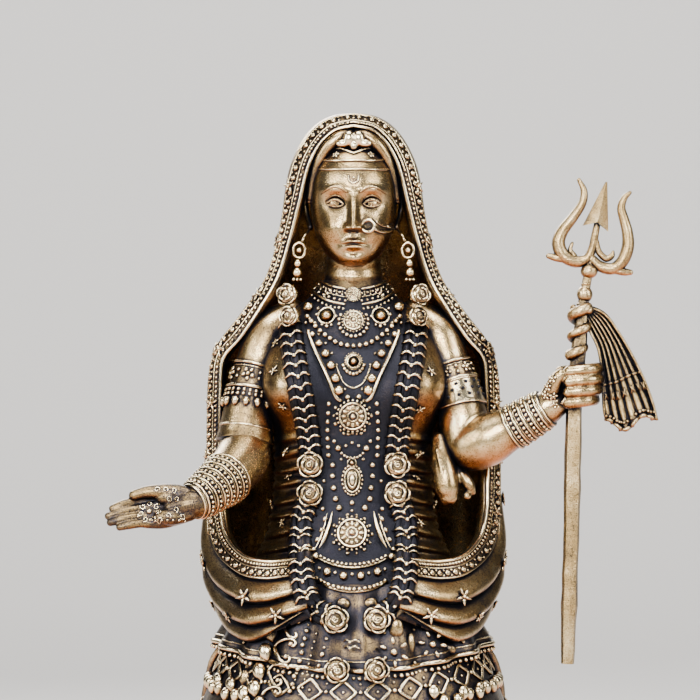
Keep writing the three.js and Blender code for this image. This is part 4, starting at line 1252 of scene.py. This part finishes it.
for side in (-1, 1):
    for x, y, z, size in ((-6.5, -3.9, 91.75, 1.15), (-6.3, -4.6, 89.6, 1.1)):
        stamp(garland, rose, Vector((-side * x, y, z)), (-side * x * 0.08, -1, 0.15), size=size, turn=z + side)
    for n, (x, z, size) in enumerate(PAIRED_ROSES + END_ROSES):
        hit, normal = seen(-side * x, z, ground, 0.5)
        stamp(garland, rose, hit, normal + Vector((0, -1.5, 0.1)), size=size, turn=1.3 * n + side)
for z in (57.1, 56.45):
    hit, normal = seen(-0.15, z, ground, 0.2)
    stamp(garland, petal_edge, hit, normal, size=0.75)
wires(cords, lines, 8)
bmesh.ops.recalc_face_normals(cords, faces=cords.faces)
finish_piece("garland_cords", cords, ground_brass)
bmesh.ops.recalc_face_normals(garland, faces=garland.faces)
finish_piece("garland", garland, relief_brass)


# Belt: two lines of beads with a row of larger ones between them, hung across the hips from
# one side of the garland to the other.
belt = bmesh.new()
BELT_UPPER = [(-3.6, 65.7), (-2.2, 65.0), (-0.2, 64.65), (1.9, 64.95), (3.3, 65.6)]
BELT_LOWER = [(-3.6, 63.4), (-2.0, 62.6), (0, 62.3), (1.9, 62.6), (3.4, 63.3)]
for places, thickness in ((BELT_UPPER, 0.2), (BELT_LOWER, 0.24)):
    string_of_beads(belt, places, thickness, 0.44, ground, 0.4)
    wires(belt, [raised_line([(x, z - 0.2) for x, z in places], 0.16, ground, 0.2)])
for x, z in ((-2.6, 63.95), (-0.98, 63.6), (0.7, 63.6), (2.35, 63.95)):
    hit, normal = seen(x, z, ground, 0.35)
    stamp(belt, bead, hit, normal, size=0.46)
for x in (-3.35, -1.8, -0.14, 1.5, 3.1):
    hit, normal = seen(x, 63.75 + 0.05 * x * x, ground, 0.3)
    stamp(belt, bead, hit, normal, size=0.2)
for side in (-1, 1):
    hit, normal = seen(side * 3.7, 65.5, ground, 0.3)
    stamp(belt, drop, hit, normal, size=0.4, turn=side * 1.2)
bmesh.ops.recalc_face_normals(belt, faces=belt.faces)
finish_piece("belt", belt, relief_brass)


# Skirt ornament: the peplum's roped hem, diamond frames with drops below them, and the hanging
# work in front: leaves, scrolls, a column of beads and flowers. Lower tiers are plainer.
skirt_ground = [peplum_skin, skirt_skin]
skirt_work = bmesh.new()
lines = []


def hem_height(turn):
    return PEPLUM_SIDE_HEM - PEPLUM_DIP * max(0, math.cos(turn)) ** 2


def frame_of_diamond(turn, z, half_width, half_height, lift=0.12):
    """The four corners of an upright diamond on the skirt."""
    reach = half_width / along(SKIRT_WIDTHS, z)
    shape = [(-1, 0), (-0.85, 0.22), (-0.18, 0.9), (0, 1), (0.18, 0.9), (0.85, 0.22),
             (1, 0), (0.85, -0.22), (0.18, -0.9), (0, -1), (-0.18, -0.9), (-0.85, -0.22)]
    return [skirt_point(turn + a * reach, z + b * half_height + 0.25 * a * math.sin(2 * turn), lift) for a, b in shape]


HEM_BEADS = 150
lines.append(([peplum_point(math.tau * n / 240, 0.03, 0.1) for n in range(240)], 0.26, True))
lines.append(([peplum_point(math.tau * n / 240, 0.13, 0.04) for n in range(240)], 0.09, True))
for n in range(HEM_BEADS):
    place = peplum_point(math.tau * n / HEM_BEADS, -0.05, 0.1)
    stamp(skirt_work, bead, place, place - Vector((0, 0, place.z)), size=0.24)
DIAMONDS = 27
for n in range(DIAMONDS):
    turn = math.tau * (n - 0.3) / DIAMONDS
    z = hem_height(turn) - 1.75
    lines.append((frame_of_diamond(turn, z, 1.2, 1.0), 0.2, True))
    out = skirt_point(turn, z, 1) - skirt_point(turn, z)
    stamp(skirt_work, bead, skirt_point(turn, z, 0.1), out, size=0.16)
    gap = math.tau * (n + 0.2) / DIAMONDS
    z = hem_height(gap) - 1.75
    out = skirt_point(gap, z, 1) - skirt_point(gap, z)
    stamp(skirt_work, bead, skirt_point(gap, z, 0.12), out, size=0.25)
    stamp(skirt_work, bead, skirt_point(gap, z + 0.75, 0.1), out, size=0.15)
    for where in (turn, gap):
        stamp(skirt_work, drop, skirt_point(where, z - 1.85, 0.2), out, size=0.62)
for tier in range(5):
    bottom = SKIRT_BOTTOM + SKIRT_TIER * tier
    girth = round(math.tau * along(SKIRT_WIDTHS, bottom) / 0.95)
    lines.append(([skirt_point(math.tau * n / 260, bottom + 0.2, 0.15) for n in range(260)], 0.2, True))
    for n in range(girth):
        place = skirt_point(math.tau * n / girth, bottom + 0.75, 0.12)
        stamp(skirt_work, bead, place, place - Vector((0, 0, place.z)), size=0.2)
    if tier < 4:
        lines.append(([skirt_point(math.tau * n / 260, bottom + 3.9, 0.1) for n in range(260)], 0.1, True))
        for n in range(30):
            turn = math.tau * (n + 0.5 * (tier % 2)) / 30
            lines.append((frame_of_diamond(turn, bottom + 2.5, 1.3, 1.05), 0.14, True))
            out = skirt_point(turn, bottom + 2.5, 1) - skirt_point(turn, bottom + 2.5)
            stamp(skirt_work, bead, skirt_point(turn, bottom + 2.5, 0.12), out, size=0.24)
            stamp(skirt_work, star, skirt_point(turn, bottom + 6.4, 0.0), out, size=0.75, turn=n)


def leaf_shape(bm):
    """A leaf 1 long each way with its point down (-Y), with a ridge along the middle."""
    bmesh.ops.create_uvsphere(bm, u_segments=10, v_segments=7, radius=1, matrix=Matrix.Diagonal((0.74, 0.95, 0.42, 1)))
    for corner in bm.verts:
        if corner.co.y < 0:
            corner.co.x *= 1 - 0.8 * min(1, -corner.co.y) ** 1.4
    wires(bm, [([(0, 0.8, 0.28), (0, 0.3, 0.42), (0, -0.3, 0.4), (0, -0.95, 0.1)], [0.05, 0.08, 0.08, 0.03], False)], 6)


def open_flower_shape(bm):
    """Six separate petals round a boss, 1.3 across."""
    for n in range(6):
        bmesh.ops.create_uvsphere(bm, u_segments=8, v_segments=5, radius=1, matrix=Matrix.Rotation(math.tau * n / 6, 4, "Z")
                                  @ Matrix.Translation((0, 1.02, 0.1)) @ Matrix.Diagonal((0.2, 0.36, 0.2, 1)))
    bmesh.ops.create_uvsphere(bm, u_segments=10, v_segments=6, radius=0.34, matrix=Matrix.Translation((0, 0, 0.15)))


leaf = template(leaf_shape)
open_flower = template(open_flower_shape)
for x, z, size, turn in ((-8.1, 57.9, 1.1, 0.2), (-8.65, 56.0, 1.05, 0.25), (-9.2, 54.0, 1.05, 0.3), (-9.7, 52.3, 1.0, 0.3), (-10.75, 51.8, 0.95, 0.2),
                         (7.9, 52.0, 0.85, -0.2), (10.8, 51.9, 0.85, -0.2), (12.4, 52.3, 0.8, -0.3), (-12.0, 52.7, 0.85, 0.3), (-13.3, 53.2, 0.75, 0.3)):
    hit, normal = seen(x, z, skirt_ground, 0.3)
    stamp(skirt_work, leaf, hit, normal + Vector((0, -1, 0)), size=size, turn=turn)
UPPER_ARM_OF_SCROLL = [(0, 0), (0.45, 0.5), (1.1, 0.8), (1.65, 0.72), (1.85, 0.35), (1.6, 0.1), (1.38, 0.3)]
LOWER_ARM_OF_SCROLL = [(0, 0), (0.2, -0.55), (0.45, -1.15), (0.85, -1.45), (1.25, -1.25), (1.2, -0.9), (0.95, -0.95)]
for x, z in ((-7.65, 56.5), (-8.35, 54.1), (-9.0, 51.7)):
    for arm in (UPPER_ARM_OF_SCROLL, LOWER_ARM_OF_SCROLL):
        if z < 52 and arm is LOWER_ARM_OF_SCROLL:
            continue
        lines.append(raised_line([(x + a, z + b) for a, b in arm], 0.17, skirt_ground, 0.32, 24))
        hit, normal = seen(x + arm[-1][0], z + arm[-1][1], skirt_ground, 0.35)
        stamp(skirt_work, bead, hit, normal, size=0.27)
lines.append(raised_line([(-6.75, 58.7), (-6.55, 58.0), (-6.2, 57.5), (-5.75, 57.55), (-5.75, 58.0)], 0.17, skirt_ground, 0.3, 20))
for n, (x, z) in enumerate(((-5.5, 59.1), (-4.65, 58.2), (-4.85, 57.4), (-5.1, 56.75), (-5.2, 56.0), (-5.4, 55.2), (-5.6, 54.4), (-5.85, 53.6),
                            (-6.05, 52.8), (-6.3, 52.1))):
    hit, normal = seen(x, z, skirt_ground, 0.2)
    stamp(skirt_work, bead, hit, normal, size=0.29)
    stamp(skirt_work, bead, seen(x + 1.0, z - 0.3, skirt_ground, 0.1)[0], normal, size=0.14)
for x, z, size, turn in ((4.1, 56.0, 1.12, 0.1), (7.85, 56.8, 1.05, 0.4)):
    hit, normal = seen(x, z, skirt_ground, 0.3)
    stamp(skirt_work, open_flower, hit, normal + Vector((0, -1, 0)), size=size, turn=turn)
for x, z, size in ((6.0, 55.0, 0.2), (5.95, 58.3, 0.16), (9.0, 58.2, 0.16), (10.9, 57.1, 0.22), (10.2, 57.9, 0.16), (3.1, 58.0, 0.2), (2.9, 54.9, 0.16),
                   (-3.1, 55.8, 0.3), (-2.7, 57.4, 0.22), (-3.4, 54.7, 0.22), (-2.9, 56.5, 0.18), (-10.8, 57.0, 0.2), (-9.8, 57.6, 0.24)):
    hit, normal = seen(x, z, skirt_ground, 0.15)
    stamp(skirt_work, bead, hit, normal, size=size)
wires(skirt_work, lines, 6)
bmesh.ops.recalc_face_normals(skirt_work, faces=skirt_work.faces)
finish_piece("skirt_ornament", skirt_work, relief_brass)

bulges = bmesh.new()
for x, z, across, high in ((-1.05, 60.85, 0.75, 0.65), (1.75, 60.9, 0.75, 0.65), (4.25, 58.5, 0.75, 1.05), (9.6, 56.4, 0.65, 0.55),
                           (5.75, 56.9, 0.4, 1.1), (-10.2, 55.0, 0.6, 0.85), (-10.7, 53.4, 0.65, 0.9)):
    sphere(bulges, seen(x, z, skirt_ground + [hip_skin])[0], (across, 0.42, high))
bmesh.ops.recalc_face_normals(bulges, faces=bulges.faces)
finish_piece("polished_bulges", bulges, skin_brass)


# Sleeve knot: the loose end of the blouse tied at the left elbow, two slack lobes of cloth
# with a bead on the tie, hanging in front of the waist.
sleeve_knot = bmesh.new()
limb(sleeve_knot, [(8.5, -3.6, 77.4, 0.8), (8.7, -4.2, 76.0, 1.05), (8.95, -4.7, 74.4, 1.2), (9.2, -4.9, 72.8, 1.25), (9.35, -4.9, 71.9, 0.95)], 30, 20)
limb(sleeve_knot, [(10.3, -4.3, 74.5, 0.4), (10.8, -4.5, 73.8, 0.62), (11.4, -4.6, 72.9, 0.58), (11.75, -4.5, 72.3, 0.34)], 24, 14)
sphere(sleeve_knot, Vector((11.15, -4.9, 71.95)), (0.42, 0.42, 0.42))
wires(sleeve_knot, [([(8.2, -5.1, 76.6), (8.6, -5.75, 74.8), (8.8, -5.95, 73.0)], 0.2, False), ([(10.6, -5.0, 74.3), (11.2, -5.2, 73.2)], 0.12, False)], 8)
sleeve_knot = fused(sleeve_knot, 0.12, 3)
bmesh.ops.recalc_face_normals(sleeve_knot, faces=sleeve_knot.faces)
finish_piece("sleeve_knot", sleeve_knot, skin_brass)


# Veil border: a woven band along the whole edge of the veil and its hip folds, cast as a lip, a
# rope of beads and a row of diamonds between fine lines. Star studs are sewn over the rest.
BORDER_PITCH = 0.38
STUD_STEP = 0.52


def veil_rim():
    """The edge of the opening, from the right-hand hip in the picture over the head to the other."""
    heights = [z for z in veil_rows if 68 <= z < VEIL_RIM_TOP]
    up_side = [veil_point(veil_edge_turn(z), z) for z in heights]
    top = [veil_point(0, VEIL_RIM_TOP)]
    return up_side + top + [Vector((-p.x, p.y, p.z)) for p in reversed(up_side)]


def edge_frames(path):
    """Each point of an edge on the veil with its normal and the way from the edge into the cloth."""
    frames = []
    for n, point in enumerate(path):
        along_edge = (path[min(n + 2, len(path) - 1)] - path[max(n - 2, 0)]).normalized()
        normal = veil_skin.find_nearest(point)[1]
        if normal.dot(Vector((point.x, point.y - 3, point.z - 85 if point.z > 104 else 0))) < 0:
            normal = -normal
        frames.append((point, along_edge.cross(normal).normalized()))
    return frames


def from_edge(frame_of_edge, inward, lift):
    point, into_cloth = frame_of_edge
    hit, normal, _, _ = veil_skin.find_nearest(point + into_cloth * inward)
    if normal.dot(hit - Vector((0, 2, min(hit.z, 100)))) < 0:
        normal = -normal
    return hit + normal * lift, normal


def flat_diamond_shape(bm):
    """A low four-sided stud with its corners cut short, 1 from middle to corner."""
    bmesh.ops.create_cone(bm, cap_ends=True, segments=4, radius1=1, radius2=0.55, depth=0.6, matrix=Matrix.Translation((0, 0, 0.1)))
    bmesh.ops.create_uvsphere(bm, u_segments=6, v_segments=4, radius=0.26, matrix=Matrix.Translation((0, 0, 0.4)))


flat_diamond = template(flat_diamond_shape)
rim = edge_frames(walk(veil_rim(), BORDER_PITCH))
stud_rim = edge_frames(walk(veil_rim(), STUD_STEP))
border = bmesh.new()
lines = [([from_edge(f, inward, lift)[0] for f in rim], radius, False)
         for inward, lift, radius in ((0.1, 0.04, 0.21), (0.95, 0.03, 0.1), (2.2, 0.04, 0.14), (2.5, 0.0, 0.07))]
for f in rim:
    place, normal = from_edge(f, 0.58, 0.06)
    stamp(border, bead, place, normal, size=0.18)
for n, f in enumerate(stud_rim):
    if n % 2:
        place, normal = from_edge(f, 1.57, 0.04)
        stamp(border, flat_diamond, place, normal, f[1], size=0.46)
    else:
        for inward in (1.22, 1.92):
            place, normal = from_edge(f, inward, 0.05)
            stamp(border, bead, place, normal, size=0.15)


def on_hip(side, u, v, lift):
    hit, normal, _, _ = hip_skin.find_nearest(hip_point(side, u, v))
    if normal.dot(Vector((hit.x, hit.y - 2, 0))) < 0:
        normal = -normal
    return hit + normal * lift, normal


for side in (-1, 1):
    for v, radius, count in ((0.006, 0.24, 60), (0.095, 0.1, 60), (0.225, 0.14, 60), (0.25, 0.07, 60)):
        lines.append(([on_hip(side, n / count, v, 0.05)[0] for n in range(count + 1)], radius, False))
    for n in range(56):
        place, normal = on_hip(side, (n + 0.5) / 56, 0.055, 0.08)
        stamp(border, bead, place, normal, size=0.19)
    for n in range(1, 42):
        way = on_hip(side, (n + 1) / 42, 0.16, 0)[0] - on_hip(side, (n - 1) / 42, 0.16, 0)[0]
        if n % 2:
            place, normal = on_hip(side, n / 42, 0.16, 0.06)
            stamp(border, flat_diamond, place, normal, way, size=0.46)
        else:
            for v in (0.128, 0.195):
                place, normal = on_hip(side, n / 42, v, 0.06)
                stamp(border, bead, place, normal, size=0.15)
wires(border, lines, 6)
bmesh.ops.recalc_face_normals(border, faces=border.faces)
finish_piece("veil_border", border, relief_brass)

STUD_PITCH = 5.4
STUD_ROWS = [27 + STUD_PITCH * n for n in range(15)]
studs = bmesh.new()
for row, z in enumerate(STUD_ROWS):
    start = veil_edge_turn(z)
    reach = math.pi - start
    girth = max(along(VEIL_WIDTHS, z), along(VEIL_BACKS, z)) if z > 58 else along(SKIRT_WIDTHS, z)
    count = max(2, round(reach * girth * 0.92 / STUD_PITCH))
    for n in range(count + row % 2):
        turn = start + reach * 2 * ((n + (0.5 if row % 2 == 0 else 0.0)) / count) / 2 + (0.24 if n == 0 and row % 2 else 0)
        for mirrored in (1, -1):
            place = veil_point(turn, z)
            place.x *= mirrored
            hit, normal, _, _ = veil_skin.find_nearest(place)
            if normal.dot(Vector((hit.x, hit.y, 0))) < 0:
                normal = -normal
            stamp(studs, star, hit, normal, size=0.85, turn=row + n)
HIP_STARS = [(0.62, 0.4, 0.95), (0.8, 0.66, 0.9), (0.36, 0.42, 0.8), (0.5, 0.68, 0.7), (0.2, 0.64, 0.8), (0.28, 0.9, 0.7), (0.12, 0.36, 0.8)]
for side in (-1, 1):
    for u, v, size in HIP_STARS:
        place, normal = on_hip(side, u, v, 0.0)
        stamp(studs, star, place, normal, size=size, turn=u * 7)
BLOUSE_STARS = [(-8.9, 86.1), (-7.95, 84.2), (-7.05, 80.7), (-9.5, 88.6), (-6.75, 76.1), (-6.45, 73.7), (-8.1, 70.9), (-7.1, 69.05),
                (7.75, 84.1), (8.75, 86.1), (6.6, 80.4), (6.55, 75.9), (6.25, 73.5), (8.05, 70.9), (6.65, 69.0)]
for x, z in BLOUSE_STARS:
    place, normal = seen(x, z, [trunk_skin], 0.0)
    stamp(studs, star, place, normal, size=0.62, turn=x)
bmesh.ops.recalc_face_normals(studs, faces=studs.faces)
finish_piece("star_studs", studs, relief_brass)


# Trident: a filed rod with three prongs, two turned knobs, a ribbon wound below them and a
# pennant tied to it. It was cast apart and pushed through the fist.
def filed_metal(name, patina=0.0):
    """Brass left bright from the file, with slanting strokes about 0.1 mm wide."""
    stroke = 0.11 * MM
    material = cast_brass(name, rub=0.6 - patina, grain=0.9, shine=0.28, gold="#c3b08c")
    tree = material.node_tree
    shader = tree.nodes["Principled BSDF"]
    place = add_node(tree, "ShaderNodeTexCoord").outputs["Object"]
    slant = add_node(tree, "ShaderNodeMapping", links={"Vector": place})
    slant.inputs["Rotation"].default_value = (0.2, 0.85, 0.3)
    slant.inputs["Scale"].default_value = (0.12, 1, 1)
    strokes = add_node(tree, "ShaderNodeTexNoise", inputs={"Scale": 1 / stroke, "Detail": 2}, links={"Vector": slant.outputs[0]})
    bump = add_node(tree, "ShaderNodeBump", inputs={"Strength": 0.8, "Distance": 0.06 * MM}, links={"Height": strokes.outputs["Fac"]})
    tree.links.new(bump.outputs["Normal"], shader.inputs["Normal"])
    return material


filed_brass = filed_metal("filed_rod_brass")
STAFF_LINE = [(20.95, 55.6), (21.1, 61.5), (21.3, 68), (21.45, 75), (21.6, 81), (22.2, 88), (22.6, 91.7), (23.1, 94.4), (23.3, 95.6)]
STAFF_RADII = [0.62, 0.8, 0.78, 0.84, 0.76, 0.7, 0.5, 0.42, 0.4]
staff = bmesh.new()
path = smooth_path([(x, STAFF_FORWARD, z, r) for (x, z), r in zip(STAFF_LINE, STAFF_RADII)], 34)
for n, point in enumerate(path[:24]):
    point[0] += 0.07 * noise(Vector((n * 0.9, 3.1, 0)))
    point[3] += 0.07 * noise(Vector((n * 1.1, 7.7, 0)))
wires(staff, [([p[:3] for p in path], [p[3] for p in path], False)], 8)
bmesh.ops.recalc_face_normals(staff, faces=staff.faces)
finish_piece("staff", staff, filed_brass, "trident", flat=True)

head_of_trident = bmesh.new()
LEFT_PRONG = [(22.05, 102.95, 0.2), (22.55, 101.9, 0.34), (22.4, 100.7, 0.42), (21.5, 99.3, 0.5), (20.5, 98.0, 0.58), (20.05, 96.8, 0.66),
              (20.5, 95.6, 0.66), (21.7, 94.95, 0.6), (22.8, 95.2, 0.52), (23.35, 96.2, 0.42), (23.6, 97.4, 0.38), (23.95, 99.2, 0.3)]
RIGHT_PRONG = [(27.05, 101.7, 0.18), (26.5, 101.15, 0.32), (26.2, 100.2, 0.42), (26.5, 99.0, 0.5), (26.8, 97.8, 0.56), (26.85, 96.4, 0.62),
               (26.3, 95.0, 0.64), (25.3, 94.25, 0.6), (24.1, 94.5, 0.55), (23.3, 95.2, 0.5)]
LEFT_CURL = [(21.4, 96.75, 0.16), (21.2, 96.1, 0.24), (21.6, 95.5, 0.3)]
RIGHT_CURL = [(23.7, 97.0, 0.3), (24.0, 95.9, 0.33), (24.7, 95.25, 0.34), (25.25, 95.5, 0.3), (25.4, 95.9, 0.16)]
LEFT_SPUR = [(20.6, 95.3, 0.5), (19.8, 95.35, 0.4), (19.1, 95.5, 0.28)]
RIGHT_SPUR = [(25.6, 94.2, 0.5), (26.5, 93.95, 0.4), (27.1, 93.9, 0.28)]
for stations in (LEFT_PRONG, RIGHT_PRONG, LEFT_CURL, RIGHT_CURL, LEFT_SPUR, RIGHT_SPUR):
    limb(head_of_trident, [(x, STAFF_FORWARD, z, r) for x, z, r in stations], 40, 12)
for place, radii in (((23.05, STAFF_FORWARD, 94.0), (0.85, 0.85, 0.72)), ((22.75, STAFF_FORWARD, 92.75), (0.5, 0.5, 0.22)),
                     ((22.62, STAFF_FORWARD, 91.75), (0.78, 0.78, 0.85)), ((22.45, STAFF_FORWARD, 90.75), (0.66, 0.66, 0.3))):
    sphere(head_of_trident, Vector(place), radii)
bmesh.ops.recalc_face_normals(head_of_trident, faces=head_of_trident.faces)
finish_piece("trident_head", head_of_trident, filed_brass, "trident")

blade = bmesh.new()
BLADE_TIP = Vector((24.75, STAFF_FORWARD, 102.75))
BLADE_FOOT = Vector((23.75, STAFF_FORWARD, 98.5))
lean = Matrix.Rotation(math.atan2(BLADE_TIP.x - BLADE_FOOT.x, BLADE_TIP.z - BLADE_FOOT.z), 4, "Y")
length = (BLADE_TIP - BLADE_FOOT).length
bmesh.ops.create_cone(blade, cap_ends=True, cap_tris=True, segments=4, radius1=1.3, radius2=0.1, depth=length,
                      matrix=Matrix.Translation((BLADE_TIP + BLADE_FOOT) / 2) @ lean @ Matrix.Diagonal((1, 0.62, 1, 1)))
for corner in blade.verts:
    if (corner.co - BLADE_FOOT).length < 1.6:
        barb = abs((corner.co - BLADE_FOOT).x) > 0.8
        corner.co += lean.to_3x3() @ Vector((0, 0, -0.35 if barb else 0.3))
bmesh.ops.recalc_face_normals(blade, faces=blade.faces)
finish_piece("trident_blade", blade, filed_brass, "trident", flat=True)

ribbon = bmesh.new()
winding = []
for n in range(41):
    share = n / 40
    angle = math.tau * 2.3 * share + 0.6
    winding.append((22.3 - 0.55 * share + 0.72 * math.cos(angle), STAFF_FORWARD - 0.72 * math.sin(angle), 90.5 - 4.7 * share,
                    0.5 + 0.12 * math.sin(7 * share)))
limb(ribbon, winding, 80, 14)
for place, radii in (((22.15, -7.6, 90.1), (0.7, 0.55, 0.6)), ((22.9, -7.5, 90.2), (0.55, 0.5, 0.45)), ((21.5, -7.2, 90.4), (0.35, 0.35, 0.4))):
    sphere(ribbon, Vector(place), radii)
ribbon = fused(ribbon, 0.09, 2)
bmesh.ops.recalc_face_normals(ribbon, faces=ribbon.faces)
finish_piece("ribbon", ribbon, filed_brass, "trident")

PENNANT_LEFT = [(22.5, 90.1), (23.0, 88.4), (23.9, 86.4), (24.25, 84.0), (24.35, 82.0), (24.45, 80.2), (24.7, 78.9)]
PENNANT_RIGHT = [(22.7, 90.6), (24.6, 89.8), (26.1, 87.8), (27.4, 85.6), (28.5, 83.4), (29.3, 81.4), (29.75, 79.9)]


def pennant_point(u, v, lift=0.0):
    """u runs from the staff's side to the outer edge, v from the knot to the hem."""
    u += 0.035 * math.sin(11 * u) * math.sin(math.pi * min(1, max(0, u)))
    steps = list(range(7))
    edges = [Vector([along(list(zip(steps, [p[axis] for p in edge])), v * 6) for axis in (0, 1)]) for edge in
             (PENNANT_LEFT, PENNANT_RIGHT)]
    x, z = edges[0].lerp(edges[1], u)
    wave = abs(math.sin(math.pi * (6.3 * u + 0.15) + 0.6 * math.sin(4 * v)))
    depth = 0.5 * min(1, v / 0.2) * (wave ** 0.45 - 0.55) + 0.5 * v * math.sin(math.pi * u)
    z += v ** 4 * (0.5 * math.sin(math.tau * (1.5 * u + 0.2)) - 0.5 * math.sin(math.pi * u))
    return Vector((x, STAFF_FORWARD - depth - lift, z))


pennant = bmesh.new()
draped_grid(pennant, 90, 90, pennant_point)
bmesh.ops.recalc_face_normals(pennant, faces=pennant.faces)
if sum(face.normal.y for face in pennant.faces) > 0:
    bmesh.ops.reverse_faces(pennant, faces=pennant.faces)
bmesh.ops.solidify(pennant, geom=pennant.faces[:], thickness=0.32)
lines = [([pennant_point(n / 50, 0.6, 0.12) for n in range(51)], 0.13, False),
         ([pennant_point(n / 50, 0.98, 0.1) for n in range(51)], 0.2, False),
         ([pennant_point(n / 50, 0.98, -0.4) for n in range(51)], 0.16, False),
         ([pennant_point(0.01, n / 50, 0.05) for n in range(51)], 0.15, False),
         ([pennant_point(0.99, n / 50, 0.05) for n in range(51)], 0.15, False)]
for n in range(7):
    u = (n + 0.5) / 7
    lines += [([pennant_point(u + a * 0.035, 0.7 + b * 0.03, 0.16) for a, b in ((-1, -1), (1, 1))], 0.09, False),
              ([pennant_point(u + a * 0.035, 0.7 + b * 0.03, 0.16) for a, b in ((-1, 1), (1, -1))], 0.09, False)]
wires(pennant, lines, 6)
for n in range(16):
    stamp(pennant, bead, pennant_point((n + 0.5) / 16, 0.92, 0.15), size=0.17)
finish_piece("pennant", pennant, filed_brass, "trident")
